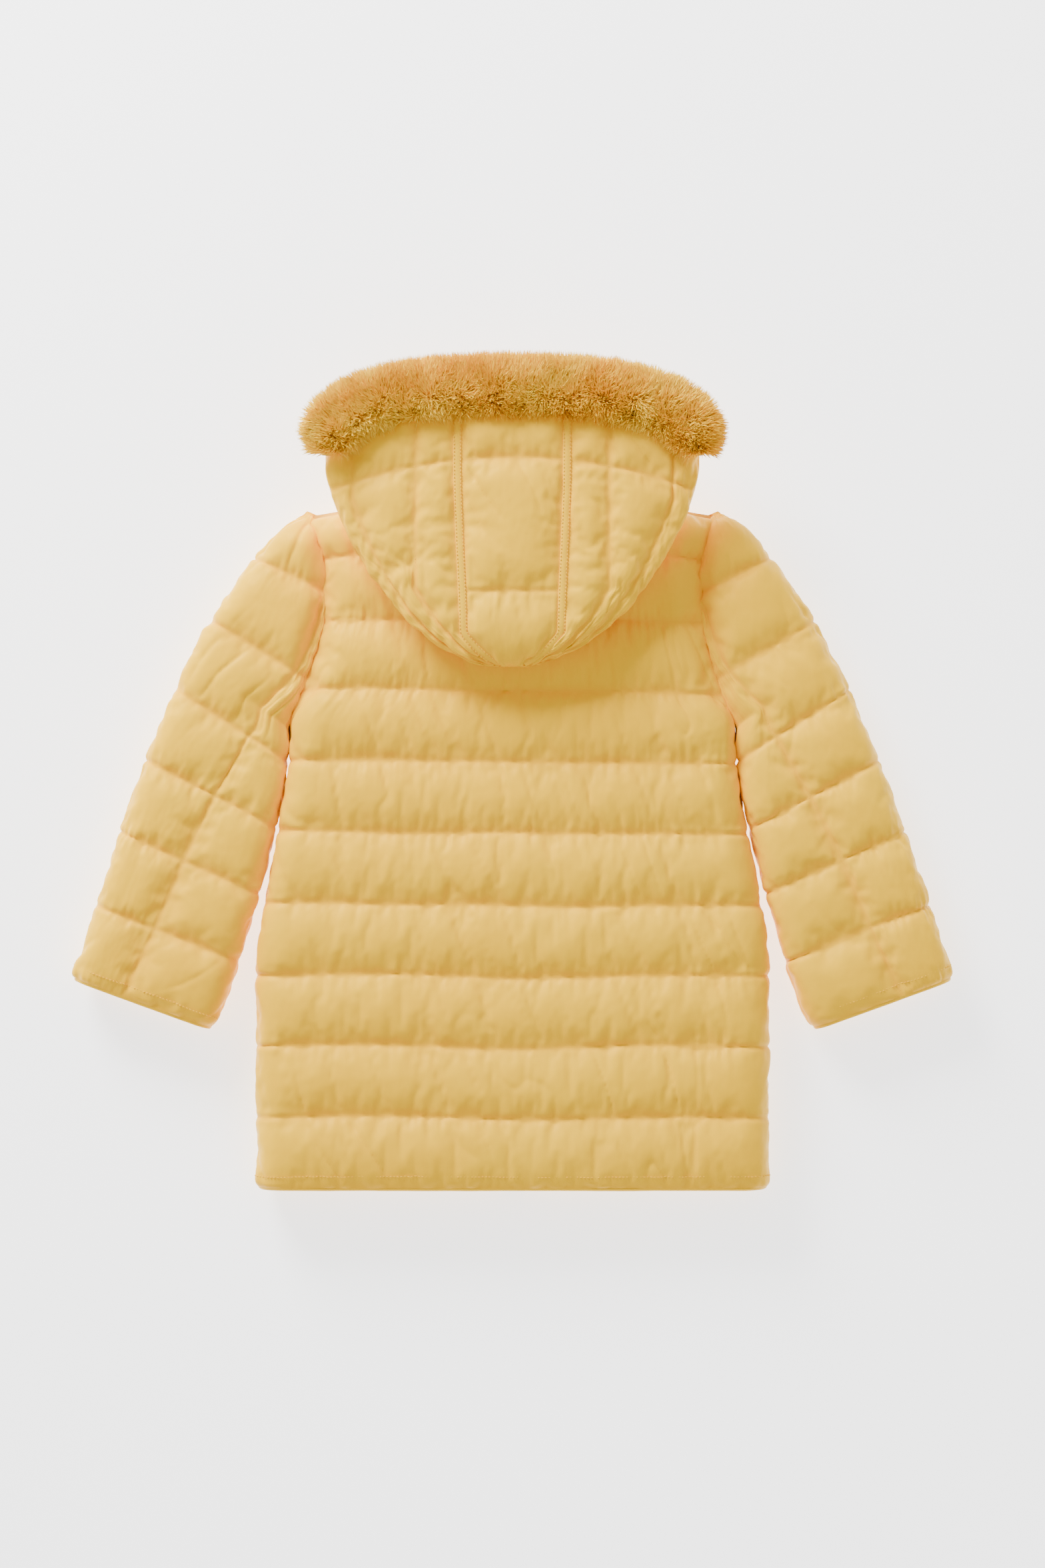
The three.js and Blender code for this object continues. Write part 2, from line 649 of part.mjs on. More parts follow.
function buildSleeves() {
  const bodyKeepOut = prism(bodyOutline(seamGap, true), -beyond, beyond);
  const cuffEdge = beyondCuff(0);
  const cuffTurn = beyondCuff(hemTurn);
  const cuffFacing = beyondCuff(cuffFacingWidth);
  const cuffLining = beyondCuff(cuffFacingWidth + seamGap);
  const clear = (outer, thickness) => layer(sleeveSolid, outer, thickness).subtract(bodyKeepOut);
  const shell = clear(0, shellThickness).subtract(cuffEdge);
  const padding = clear(sleevePaddingInset, sleevePadding).subtract(cuffTurn);
  const inner = clear(sleeveLiningInset, liningThickness).subtract(cuffEdge);
  const upper = above(sleeveMid + seamGap / 2);
  const under = below(sleeveMid - seamGap / 2);
  const pieces = [
    ['upper_sleeve_shell', shell.intersect(upper), 'shell'],
    ['under_sleeve_shell', shell.intersect(under), 'shell'],
    ['upper_sleeve_padding', padding.intersect(upper), 'padding'],
    ['under_sleeve_padding', padding.intersect(under), 'padding'],
    ['sleeve_lining', inner.subtract(cuffLining), 'lining'],
    ['cuff_facing', inner.intersect(cuffFacing), 'shell'],
  ];
  pieces.forEach(([name, solid, finish]) => {
    add(`right_${name}`, solid, finish);
    add(`left_${name}`, mirrored(solid), finish);
  });
}

// ---- the hood ----

const hoodHalf = hoodWidth / 2;
const hoodMid = hoodFloor + hoodDepth / 2;
const crownHeight = hoodBrimHeight - hoodLength;
const furCentre = hoodBrimHeight + 10;
const crownRows = [0.004, 0.03, 0.09, 0.18, 0.32, 0.5, 0.75, 1];   // shares of the hood's length
const crownHalf = 0.35;        // least half width at the crown, as a share of the hood's half depth
const crownRise = 0.12;        // least thickness there, in the same way
const hoodMargin = 20;         // for cutting past its edges

function hoodHalfAt(distance, length) {
  const t = THREE.MathUtils.clamp(1 - distance / length, 0, 1);
  return Math.sqrt(1 - t ** hoodRoundness);
}

function hoodSolid(inset) {
  const radius = hoodDepth / 2 - inset;
  const length = hoodLength - inset;
  const distances = crownRows.map((share) => share * length);
  distances.push(length + furRise + hoodMargin / 2);
  const rings = distances.map((distance) => {
    const halfWidth = Math.max((hoodHalf - inset) * hoodHalfAt(distance, length), radius * crownHalf);
    const rise = radius * Math.max(roundOver(distance, radius), crownRise);
    return section(halfWidth, rise, rise, radius, []).map(([x, up]) => (
      new THREE.Vector3(x, crownHeight + inset + distance, hoodMid + up)));
  });
  return loft(rings);
}

// A rounded arch in plan, from one end of the fur to the other
function archPoints(offset, steps) {
  const points = [];
  for (let i = 0; i <= steps; i += 1) {
    const turn = Math.PI * (1 - i / steps);
    const c = Math.cos(turn);
    const s = Math.sin(turn);
    const x = (furSpan / 2 + offset) * Math.sign(c) * Math.abs(c) ** (2 / furSquareness);
    const y = furCentre + (furRise + offset) * Math.abs(s) ** (2 / furSquareness);
    points.push([x, y]);
  }
  return points;
}

// The hood's own outline in plan: everything below its brim
function hoodRegion() {
  const brim = archPoints(-furWidth / 2 - brimClearance, 16).reverse();
  const shoulder = furCentre - brimClearance * 3;
  const bottom = crownHeight - hoodMargin;
  const first = brim[0][0];
  const last = brim[brim.length - 1][0];
  return prism([[-beyond, bottom], [beyond, bottom], [beyond, shoulder], [first, shoulder], ...brim,
    [last, shoulder], [-beyond, shoulder]], -beyond, beyond);
}

function brimBandRegion(gap) {
  const points = [];
  const steps = 10;
  const edge = hoodHalf + hoodMargin / 2;
  const seam = furCentre + furRise - furWidth / 2 - brimBandWidth;
  for (let i = 0; i <= steps; i += 1) {
    const x = lerp(-edge, edge, i / steps);
    points.push([x, seam - brimBandCurve * (x / hoodHalf) ** 2 - gap]);
  }
  points.push([edge, beyond * 2], [-edge, beyond * 2]);
  return prism(points, hoodMid - gap, beyond);
}

function centreRegion(gap) {
  const top = centrePanelWidth / 2 + gap;
  const bottom = top - centrePanelTaper / 2;
  const low = crownHeight - hoodMargin;
  return prism([[-bottom, low], [bottom, low], [top, beyond * 2], [-top, beyond * 2]], -beyond, beyond);
}

function buildHood() {
  const region = hoodRegion();
  const shell = layer(hoodSolid, 0, shellThickness).intersect(region);
  const panels = shell.subtract(brimBandRegion(seamGap));
  const sides = panels.subtract(centreRegion(seamGap));
  add('hood_left_panel', sides.intersect(leftOf(0)), 'shell');
  add('hood_centre_panel', panels.intersect(centreRegion(0)), 'shell');
  add('hood_right_panel', sides.intersect(rightOf(0)), 'shell');
  add('hood_brim_band', shell.intersect(brimBandRegion(0)), 'shell');
  const inset = shellThickness + layerGap;
  const padding = layer(hoodSolid, inset, hoodPadding).intersect(region);
  add('hood_crown_padding', padding.intersect(above(hoodMid + seamGap / 2)), 'padding');
  add('hood_nape_padding', padding.intersect(below(hoodMid - seamGap / 2)), 'padding');
  const lining = layer(hoodSolid, inset + hoodPadding + layerGap, liningThickness);
  add('hood_lining', lining.intersect(region), 'lining');
}

function archTube(halfAcross, low, high, roundSection) {
  const path = new THREE.CatmullRomCurve3(archPoints(0, 20).map(([x, y]) => new THREE.Vector3(x, y, 0)));
  const steps = 22;
  const mid = (low + high) / 2;
  const rise = (high - low) / 2;
  const rings = [];
  for (let i = 0; i <= steps; i += 1) {
    const at = path.getPointAt(i / steps);
    const way = path.getTangentAt(i / steps);
    const ring = [];
    const corners = roundSection ? 10 : 4;
    for (let j = 0; j < corners; j += 1) {
      const turn = (j + 0.5) * (2 * Math.PI / corners);
      const scale = roundSection ? 1 : Math.SQRT2;
      const a = halfAcross * Math.cos(turn) * scale;
      ring.push(new THREE.Vector3(at.x + way.y * a, at.y - way.x * a, mid + rise * Math.sin(turn) * scale));
    }
    rings.push(ring);
  }
  return loft(rings);
}

function buildFur() {
  const low = hoodFloor + furLift;
  add('fur_trim', archTube(furWidth / 2, low, low + furThickness, true), 'fur');
  const backingHigh = low - layerGap;
  const backingLow = backingHigh - furBackingThickness;
  add('fur_backing', archTube(furBackingWidth / 2, backingLow, backingHigh, false), 'tape');
}

buildBody();
buildCollar();
buildZip();
buildSlider();
buildFittings();
buildSleeves();
buildHood();
buildFur();

// The origin is under the middle of the coat
const bounds = new THREE.Box3().setFromObject(coat);
coat.position.y = -(bounds.min.y + bounds.max.y) / 2;
coat.updateMatrixWorld(true);

export default coat;
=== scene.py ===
import bpy
import math
import numpy as np
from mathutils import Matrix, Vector, noise


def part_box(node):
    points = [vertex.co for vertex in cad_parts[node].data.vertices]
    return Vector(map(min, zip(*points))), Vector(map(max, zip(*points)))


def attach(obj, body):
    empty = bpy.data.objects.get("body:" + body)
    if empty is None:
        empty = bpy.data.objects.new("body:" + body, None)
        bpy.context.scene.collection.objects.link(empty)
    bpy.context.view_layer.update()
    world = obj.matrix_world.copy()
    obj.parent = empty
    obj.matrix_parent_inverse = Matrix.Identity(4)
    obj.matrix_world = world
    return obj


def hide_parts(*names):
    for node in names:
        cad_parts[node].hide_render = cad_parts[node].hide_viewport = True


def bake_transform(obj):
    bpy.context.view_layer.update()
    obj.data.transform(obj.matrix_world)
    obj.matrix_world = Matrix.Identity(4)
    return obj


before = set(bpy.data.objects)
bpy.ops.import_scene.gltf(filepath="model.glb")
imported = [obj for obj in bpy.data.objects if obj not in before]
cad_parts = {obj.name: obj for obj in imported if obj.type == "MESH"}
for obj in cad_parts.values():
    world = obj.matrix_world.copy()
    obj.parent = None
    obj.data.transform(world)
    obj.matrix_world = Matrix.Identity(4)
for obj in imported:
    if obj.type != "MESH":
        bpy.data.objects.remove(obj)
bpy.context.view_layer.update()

print("frame loaded")

# Camera

cameraView = {"lens": 85.0, "longSide": 1.505, "across": 0.0096, "along": -0.007, "level": 0.06}

camData = bpy.data.cameras.new("coatCamera")
camData.lens = cameraView["lens"]
camData.sensor_width = 36.0
camData.clip_end = 50.0
camera = bpy.data.objects.new("coatCamera", camData)
bpy.context.scene.collection.objects.link(camera)
distance = cameraView["longSide"] * cameraView["lens"] / camData.sensor_width
camera.location = (cameraView["across"], cameraView["along"], cameraView["level"] + distance)
bpy.context.scene.camera = camera

# Shader helpers


class Sock:
    # wraps a node's output, so that shader sums read as plain arithmetic
    def __init__(self, mat, out):
        self.mat = mat
        self.out = out

    def maths(self, operation, other, swap=False):
        first, second = (other, self) if swap else (self, other)
        return self.mat.node("ShaderNodeMath", {"operation": operation}, {0: first, 1: second})

    def __add__(self, other):
        return self.maths("ADD", other)

    def __radd__(self, other):
        return self.maths("ADD", other, True)

    def __sub__(self, other):
        return self.maths("SUBTRACT", other)

    def __rsub__(self, other):
        return self.maths("SUBTRACT", other, True)

    def __mul__(self, other):
        return self.maths("MULTIPLY", other)

    def __rmul__(self, other):
        return self.maths("MULTIPLY", other, True)


class Finish:
    # a material made from node calls: type, settings, then the sockets' values or links
    def __init__(self, name):
        self.mat = bpy.data.materials.new(name)
        self.mat.use_nodes = True
        self.tree = self.mat.node_tree
        self.shader = self.tree.nodes["Principled BSDF"]

    def node(self, kind, settings=None, sockets=None, out=0):
        made = self.tree.nodes.new(kind)
        for key, value in (settings or {}).items():
            if key == "stops":
                ramp = made.color_ramp
                while len(ramp.elements) < len(value):
                    ramp.elements.new(0.5)
                for element, (place, colour) in zip(ramp.elements, value):
                    element.position = place
                    element.color = (*colour, 1.0)
            else:
                setattr(made, key, value)
        for key, value in (sockets or {}).items():
            self.feed(made.inputs[key], value)
        return Sock(self, made.outputs[out])

    def feed(self, socket, value):
        if isinstance(value, Sock):
            self.tree.links.new(value.out, socket)
        elif isinstance(value, tuple) and len(value) == 3 and socket.type == "RGBA":
            socket.default_value = (*value, 1.0)
        else:
            socket.default_value = value

    def set(self, **values):
        for key, value in values.items():
            self.feed(self.shader.inputs[key.replace("_", " ")], value)

    def blend(self, factor, first, second):
        return self.node("ShaderNodeMix", {"data_type": "RGBA"}, {0: factor, 6: first, 7: second}, 2)

    def place(self):
        return self.node("ShaderNodeNewGeometry")

    def grain(self, scale, detail=2.0, stretch=(1.0, 1.0, 1.0)):
        at = self.node("ShaderNodeMapping", None, {"Vector": self.place(), "Scale": stretch})
        return self.node("ShaderNodeTexNoise", None, {"Vector": at, "Scale": scale, "Detail": detail})

    def bump(self, height, strength, depth):
        return self.node("ShaderNodeBump", None, {"Strength": strength, "Distance": depth, "Height": height})


# seam: a deeper orange painted along the quilt lines and the panel edges, as painted shade in the creases
# there
shellCloth = {
    "light": (1.0, 0.60, 0.004), "deep": (0.99, 0.51, 0.002), "seam": (0.98, 0.44, 0.004),
    "roughness": 0.42, "patch": 9.0, "crinkle": 120.0, "weave": 1500.0, "crinkleDepth": 0.0005,
}


def clothFinish(name, spec):
    finish = Finish(name)
    patch = finish.grain(spec["patch"], 3.0)
    crinkle = finish.grain(spec["crinkle"], 3.0, (1.0, 0.55, 1.0))
    threadsA = finish.node("ShaderNodeTexWave", {"bands_direction": "X"}, {
        "Vector": finish.place(), "Scale": spec["weave"] / 6.283, "Distortion": 0.3})
    threadsB = finish.node("ShaderNodeTexWave", {"bands_direction": "Y"}, {
        "Vector": finish.place(), "Scale": spec["weave"] / 6.283, "Distortion": 0.3})
    weave = threadsA * threadsB
    tone = patch * 0.7 + crinkle * 0.3
    cloth = finish.blend(tone, spec["deep"], spec["light"])
    # painted shade: near the sewn lines, as the sewn attribute tells, the cloth colour is blended towards the
    # seam colour, broken up by the crinkle noise
    if "seam" in spec:
        sewn = finish.node("ShaderNodeAttribute", {"attribute_name": "sewn"}, None, 2)
        cloth = finish.blend(sewn * (0.6 + crinkle * 0.6), cloth, spec["seam"])
    finish.set(Base_Color=cloth)
    finish.set(Roughness=spec["roughness"] - 0.06 + patch * 0.12)
    finish.set(Normal=finish.bump(crinkle + weave * 0.12, 0.55, spec["crinkleDepth"]))
    finish.set(Sheen_Weight=0.03, Sheen_Roughness=0.4, Sheen_Tint=(1.0, 0.72, 0.25, 1.0))
    finish.set(Specular_IOR_Level=0.20, Specular_Tint=(1.0, 0.70, 0.18, 1.0))
    return finish.mat


liningCloth = {
    "light": (0.93, 0.50, 0.07), "deep": (0.86, 0.42, 0.04), "roughness": 0.5,
    "patch": 14.0, "crinkle": 90.0, "weave": 1700.0, "crinkleDepth": 0.0004,
}
tapeCloth = {
    "light": (0.90, 0.50, 0.06), "deep": (0.80, 0.40, 0.04), "roughness": 0.7,
    "patch": 30.0, "crinkle": 300.0, "weave": 2600.0, "crinkleDepth": 0.0003,
}
threadLook = {
    "light": (0.98, 0.60, 0.03), "deep": (0.93, 0.50, 0.02), "roughness": 0.5,
    "patch": 60.0, "crinkle": 900.0, "weave": 5200.0, "crinkleDepth": 0.0001,
}
labelCloth = {
    "light": (0.93, 0.91, 0.86), "deep": (0.86, 0.84, 0.78), "roughness": 0.6,
    "patch": 60.0, "crinkle": 400.0, "weave": 4200.0, "crinkleDepth": 0.0001,
}

shellMat = clothFinish("yellowSatinShell", shellCloth)
liningMat = clothFinish("amberLining", liningCloth)
tapeMat = clothFinish("wovenTape", tapeCloth)
threadMat = clothFinish("sewingThread", threadLook)
labelMat = clothFinish("blankLabel", labelCloth)

furLook = {"root": (1.0, 0.56, 0.014), "tip": (1.0, 0.74, 0.05), "warm": (1.0, 0.62, 0.02), "patch": 8.0}


def furFinish():
    finish = Finish("plushPile")
    along = finish.node("ShaderNodeAttribute", {"attribute_name": "along"}, None, 2)
    patch = finish.grain(furLook["patch"], 2.0)
    spread = finish.node("ShaderNodeMapRange", None, {"Value": patch, "From Min": 0.42, "From Max": 0.60})
    tip = finish.blend(spread, furLook["warm"], furLook["tip"])
    finish.set(Base_Color=finish.blend(along, furLook["root"], tip))
    finish.set(Roughness=0.6, Specular_IOR_Level=0.3, Specular_Tint=(1.0, 0.75, 0.35, 1.0))
    return finish.mat


furMat = furFinish()

metalLook = {"dark": (0.52, 0.51, 0.50), "light": (0.72, 0.71, 0.69), "roughness": 0.24}
plasticLook = {"dark": (0.84, 0.47, 0.07), "light": (0.93, 0.58, 0.12), "roughness": 0.30}


def metalFinish():
    finish = Finish("nickelZip")
    scratch = finish.grain(900.0, 4.0, (1.0, 0.08, 1.0))
    finish.set(Base_Color=finish.blend(scratch, metalLook["dark"], metalLook["light"]))
    finish.set(Roughness=metalLook["roughness"] + scratch * 0.2, Metallic=1.0)
    finish.set(Normal=finish.bump(scratch, 0.15, 0.0001))
    return finish.mat


def plasticFinish():
    finish = Finish("mouldedTeeth")
    speck = finish.grain(260.0, 3.0)
    finish.set(Base_Color=finish.blend(speck, plasticLook["dark"], plasticLook["light"]))
    finish.set(Roughness=plasticLook["roughness"] + speck * 0.15)
    finish.set(Normal=finish.bump(speck, 0.12, 0.0002))
    return finish.mat


metalMat = metalFinish()
teethMat = plasticFinish()
print("materials made")

# Mesh helpers


def fade(value, low, high):
    t = np.clip((np.asarray(value, float) - low) / (high - low), 0.0, 1.0)
    return t * t * (3.0 - 2.0 * t)


def wander(points, scale, seed):
    # smooth seeded noise between -1 and 1 at each point
    flat = points.reshape(-1, 3)
    shift = Vector((seed * 3.17, seed * 1.31, seed * 0.73))
    values = [noise.noise(Vector(p) * scale + shift) for p in flat]
    return np.array(values).reshape(points.shape[:-1])


def gridFaces(rows, cols, flip=False):
    faces = []
    for i in range(rows - 1):
        for j in range(cols - 1):
            a = i * cols + j
            quad = (a, a + 1, a + cols + 1, a + cols)
            faces.append(quad[::-1] if flip else quad)
    return faces


def gridPiece(name, points, mat, flip=False):
    rows, cols = points.shape[:2]
    mesh = bpy.data.meshes.new(name)
    mesh.from_pydata([tuple(p) for p in points.reshape(-1, 3)], [], gridFaces(rows, cols, flip))
    mesh.update()
    mesh.materials.append(mat)
    mesh.polygons.foreach_set("use_smooth", [True] * len(mesh.polygons))
    layer = mesh.uv_layers.new(name="OFBake")
    uv = np.empty((len(mesh.loops), 2))
    vertex = np.empty(len(mesh.loops), int)
    mesh.loops.foreach_get("vertex_index", vertex)
    uv[:, 0] = 0.01 + 0.98 * (vertex % cols) / (cols - 1)
    uv[:, 1] = 0.01 + 0.98 * (vertex // cols) / (rows - 1)
    layer.uv.foreach_set("vector", uv.ravel())
    piece = bpy.data.objects.new(name, mesh)
    bpy.context.scene.collection.objects.link(piece)
    return piece


def coordsOf(mesh):
    co = np.empty(len(mesh.vertices) * 3)
    mesh.vertices.foreach_get("co", co)
    return co.reshape(-1, 3)


def gridNormals(points, flip=False):
    across = np.gradient(points, axis=1)
    down = np.gradient(points, axis=0)
    normal = np.cross(across, down)
    normal /= np.maximum(np.linalg.norm(normal, axis=2, keepdims=True), 1e-12)
    return -normal if flip else normal


def smoothPiece(piece, levels=1):
    sub = piece.modifiers.new("smooth", "SUBSURF")
    sub.levels = levels
    sub.render_levels = levels
    bpy.context.view_layer.objects.active = piece
    piece.select_set(True)
    bpy.ops.object.modifier_apply(modifier=sub.name)
    piece.select_set(False)


# Simulated padding

puffing = {
    "frames": 30, "pressure": 26.0, "growth": 0.04, "mass": 0.003, "tension": 14.0, "squeeze": 4.0,
    "shear": 4.0, "bend": 0.03, "airDrag": 6.0, "quality": 5,
    "rise": 0.0050, "cap": 0.018, "floor": 0.0008, "ruffle": 0.0026, "fold": 0.0036,
}
panels = []


def addPanel(name, points, pinned, flip=False, cap=None, growth=None, seed=1, onFloor=False):
    # a quilted panel: a grid of fabric held on its sewn lines, to be blown up by the padding
    piece = gridPiece(name, points, shellMat, flip)
    panels.append({
        "piece": piece, "base": points.copy(), "pinned": pinned, "flip": flip, "onFloor": onFloor,
        "cap": cap or puffing["cap"], "growth": growth or puffing["growth"], "seed": seed,
    })
    return panels[-1]


def preparePanel(panel):
    piece = panel["piece"]
    piece.data.vertices.foreach_set("co", startShape(panel).ravel())
    group = piece.vertex_groups.new(name="sewn")
    group.add([int(i) for i in np.flatnonzero(panel["pinned"].ravel())], 1.0, "REPLACE")
    cloth = piece.modifiers.new("padding", "CLOTH")
    settings = cloth.settings
    settings.quality = puffing["quality"]
    settings.mass = puffing["mass"]
    settings.tension_stiffness = puffing["tension"]
    settings.compression_stiffness = puffing["squeeze"]
    settings.shear_stiffness = puffing["shear"]
    settings.bending_stiffness = puffing["bend"]
    settings.air_damping = puffing["airDrag"]
    settings.use_pressure = True
    settings.uniform_pressure_force = puffing["pressure"]
    settings.shrink_min = -panel["growth"]
    settings.vertex_group_mass = "sewn"
    settings.effector_weights.gravity = 0.0
    cloth.point_cache.frame_start = 1
    cloth.point_cache.frame_end = puffing["frames"]
    cloth.collision_settings.use_collision = False


def sewnReach(pinned, spacing, limit=16):
    # how far each point lies from the nearest sewn line, in metres
    reach = np.full(pinned.shape, float(limit))
    reach[pinned] = 0.0
    for _ in range(limit):
        for part in (reach, reach.T):
            # down then up the rows, then the same along them
            part[1:] = np.minimum(part[1:], part[:-1] + 1.0)
            part[:-1] = np.minimum(part[:-1], part[1:] + 1.0)
    return reach * spacing


def startShape(panel):
    # the swell, the puckers beside the sewn lines and the long soft folds, before the cloth settles
    base = panel["base"]
    spacing = float(np.median(np.linalg.norm(np.diff(base, axis=0), axis=2)))
    reach = sewnReach(panel["pinned"], spacing)
    swell = np.clip(reach / 0.030, 0.0, 1.0)
    height = puffing["rise"] * np.sqrt(1.0 - (1.0 - swell) ** 2)
    sign = -1.0 if base[:, -1, 0].mean() < 0 else 1.0
    across = base * np.array([1.0, 0.18, 1.0])
    pucker = wander(across, 95.0, panel["seed"]) + 0.7 * wander(across, 210.0, panel["seed"] + 5)
    height = height + puffing["ruffle"] * pucker * np.exp(-reach / 0.011) * (reach > 0)
    slanted = base.copy()
    slanted[..., 0] = base[..., 0] + 0.35 * sign * base[..., 1]
    slanted[..., 1] = base[..., 1] * 0.22
    fold = wander(slanted, 34.0, panel["seed"] + 9)
    crease = np.exp(-np.abs(fold) / 0.10) * fade(wander(base, 9.0, panel["seed"] + 12), -0.1, 0.35)
    height = height + puffing["fold"] * (fold * 0.8 - crease) * fade(reach, 0.0, 0.012)
    return base + gridNormals(base, panel["flip"]) * height[..., None]


def runPadding():
    scene = bpy.context.scene
    for panel in panels:
        preparePanel(panel)
    scene.frame_start = 1
    scene.frame_end = puffing["frames"]
    for step in range(1, puffing["frames"] + 1):
        scene.frame_set(step)
    graph = bpy.context.evaluated_depsgraph_get()
    found = [coordsOf(p["piece"].evaluated_get(graph).data).reshape(p["base"].shape) for p in panels]
    for panel in panels:
        panel["piece"].modifiers.clear()
        panel["piece"].vertex_groups.clear()
    scene.frame_set(1)
    for panel, shape in zip(panels, found):
        move = shape - panel["base"]
        size = np.linalg.norm(move, axis=2, keepdims=True)
        limit = panel["cap"]
        eased = limit * np.tanh(size / limit)
        shape = panel["base"] + move * (eased / np.maximum(size, 1e-9))
        if panel["onFloor"]:
            low = puffing["floor"]
            shape[..., 2] = low + np.logaddexp(0.0, (shape[..., 2] - low) / 0.0012) * 0.0012
        panel["shape"] = shape
        panel["piece"].data.vertices.foreach_set("co", shape.ravel())
        panel["piece"].data.update()


# The coat's measures

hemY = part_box("back_shell")[0].y
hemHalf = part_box("back_shell")[1].x
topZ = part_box("back_shell")[1].z
midZ = topZ / 2
m = {
    "flare": 0.200, "armpit": 0.445, "shoulder": 0.657, "chestHalf": 0.217, "crossBackHalf": 0.183,
    "shoulderHalf": 0.195, "neckHalf": 0.092, "pitch": 0.0682, "lean": 0.017, "front": 0.0095,
    "sink": 0.0065, "sideSink": 0.0045, "lastRow": 0.665,
    "neckFlat": 0.064, "neckRound": 0.029, "neckRise": 0.0275,
}


def bodyHalf(up):
    t = fade(up, m["flare"], m["armpit"])
    return hemHalf + (m["chestHalf"] - hemHalf) * t


def armholeHalf(up):
    t = np.clip((np.asarray(up, float) - m["armpit"]) / (m["shoulder"] - m["armpit"]), 0.0, 1.0)
    control = 2.0 * m["crossBackHalf"] - (m["chestHalf"] + m["shoulderHalf"]) / 2.0
    return (1 - t) ** 2 * m["chestHalf"] + 2 * t * (1 - t) * control + t * t * m["shoulderHalf"]


def bodyPoint(side, up, turn, inset=0.0):
    # a point on the body: side 0 at the middle to 1 at the side seam, turn 1 on the back, -1 on the front
    radius = midZ - m["sink"] - inset
    half = bodyHalf(up) - m["sideSink"] - inset
    armHalf = armholeHalf(up) + 0.0015
    flat = half - radius
    length = flat + radius * math.pi / 2
    s = side * length
    bend = np.clip((s - flat) / radius, 0.0, math.pi / 2)
    x = np.where(s < flat, s, flat + radius * np.sin(bend))
    z = radius * np.cos(bend)
    armX = side * armHalf
    edge = fade(armX, armHalf - 0.030, armHalf)
    armZ = radius - edge * 0.015
    open_ = fade(up, m["armpit"] - 0.012, m["armpit"] + 0.030)
    x = x + (armX - x) * open_
    z = z + (armZ - z) * open_
    drop = np.clip(1.0 - (m["lastRow"] - inset * 0.5 - up) / 0.034, 0.0, 1.0)
    neckReach = np.maximum(x - m["neckFlat"], 0.0) / m["neckRound"]
    neckZ = (m["neckRise"] - inset) * np.sqrt(np.maximum(1.0 - neckReach ** 2, 0.0))
    z = neckZ + (z - neckZ) * np.sqrt(1.0 - drop ** 2)
    return x, z * turn


def backGrid(step, inset=0.0, side=None):
    rows = int(round(m["pitch"] / step))
    count = int(9.75 * rows) + 1
    cols = int(round(2 * (hemHalf + 0.02) / step)) // 2 * 2 + 1
    up = np.linspace(0.0, m["pitch"] * (count - 1) / rows, count)
    across = np.linspace(-1.0, 1.0, cols)
    grid = np.zeros((count, cols, 3))
    for i, u in enumerate(up):
        x, z = bodyPoint(np.abs(across), np.full(cols, u), 1.0, inset)
        grid[i, :, 0] = x * np.sign(across)
        grid[i, :, 1] = u
        grid[i, :, 2] = midZ + z
    slope = m["lean"] / (m["shoulderHalf"] - m["neckHalf"])
    lean = fade(up, 0.56, 0.66)[:, None] * slope * np.maximum(np.abs(grid[..., 0]) - m["neckHalf"], 0.0)
    grid[..., 1] -= lean
    wave = wander(grid, 7.0, 3) * 0.0045 + wander(grid, 22.0, 4) * 0.0012
    edge = fade(up, 0.0, 0.05)[:, None]
    grid[..., 1] += wave * edge
    grid[..., 1] += hemY
    grid[..., 2] += wander(grid, 5.0, 9) * 0.0022
    return grid, rows


def buildBack():
    grid, rows = backGrid(0.0041)
    count, cols = grid.shape[:2]
    pinned = np.zeros((count, cols), bool)
    pinned[::rows] = True
    pinned[[0, -1]] = True
    pinned[:, [0, -1]] = True
    panel = addPanel("backPanel", grid, pinned, seed=11)
    panel["lines"] = [[(k, j) for j in range(2, cols - 2)] for k in range(rows, count - 4, rows)]
    panel["lines"].append([(3, j) for j in range(2, cols - 2)])
    return panel


def frontGrid(step, sign, inset=0.0):
    rows = int(round(m["pitch"] / step))
    count = int(9.75 * rows) + 1
    cols = int(round((hemHalf + 0.02) / step)) + 1
    up = np.linspace(0.0, m["pitch"] * (count - 1) / rows, count)
    grid = np.zeros((count, cols, 3))
    for i, u in enumerate(up):
        side = np.linspace(0.0, 1.0, cols)
        x, z = bodyPoint(side, np.full(cols, u), -1.0, inset)
        inner = m["front"] + inset * 0.3
        x = np.maximum(inner + x * (x[-1] - inner) / x[-1], inner)
        grid[i, :, 0] = x
        grid[i, :, 1] = u
        grid[i, :, 2] = midZ + z
    slope = m["lean"] / (m["shoulderHalf"] - m["neckHalf"])
    lean = fade(up, 0.56, 0.66)[:, None] * slope * np.maximum(grid[..., 0] - m["neckHalf"], 0.0)
    grid[..., 1] -= lean
    grid[..., 1] += hemY
    grid[..., 0] *= sign
    return grid, rows


def buildFront(sign, name):
    grid, rows = frontGrid(0.0058, sign)
    count, cols = grid.shape[:2]
    pinned = np.zeros((count, cols), bool)
    pinned[::rows] = True
    pinned[[0, -1]] = True
    pinned[:, [0, 1, -1]] = True
    panel = addPanel(name, grid, pinned, flip=sign > 0, seed=21 + sign, onFloor=True, cap=0.010)
    panel["lines"] = [[(k, j) for j in range(2, cols - 1)] for k in range(rows, count - 4, rows)]
    return panel


# Sleeves

sleeve = {
    "reach": 0.229, "drop": 0.455, "cap": 0.065, "bow": 0.030, "cuff": 0.141, "tilt": 20.0,
    "seam": 0.303, "standoff": 0.040, "clear": 0.0005, "depth": 0.056, "sink": 0.006, "lines": 7,
    "seamAt": (0.97, 0.96, 0.88, 0.64, 0.53, 0.47, 0.43, 0.38), "firstLine": 0.035,
}


def bezier(t, a, b, c, d):
    t = np.asarray(t, float)[..., None]
    return (1 - t) ** 3 * a + 3 * t * (1 - t) ** 2 * b + 3 * t * t * (1 - t) * c + t ** 3 * d


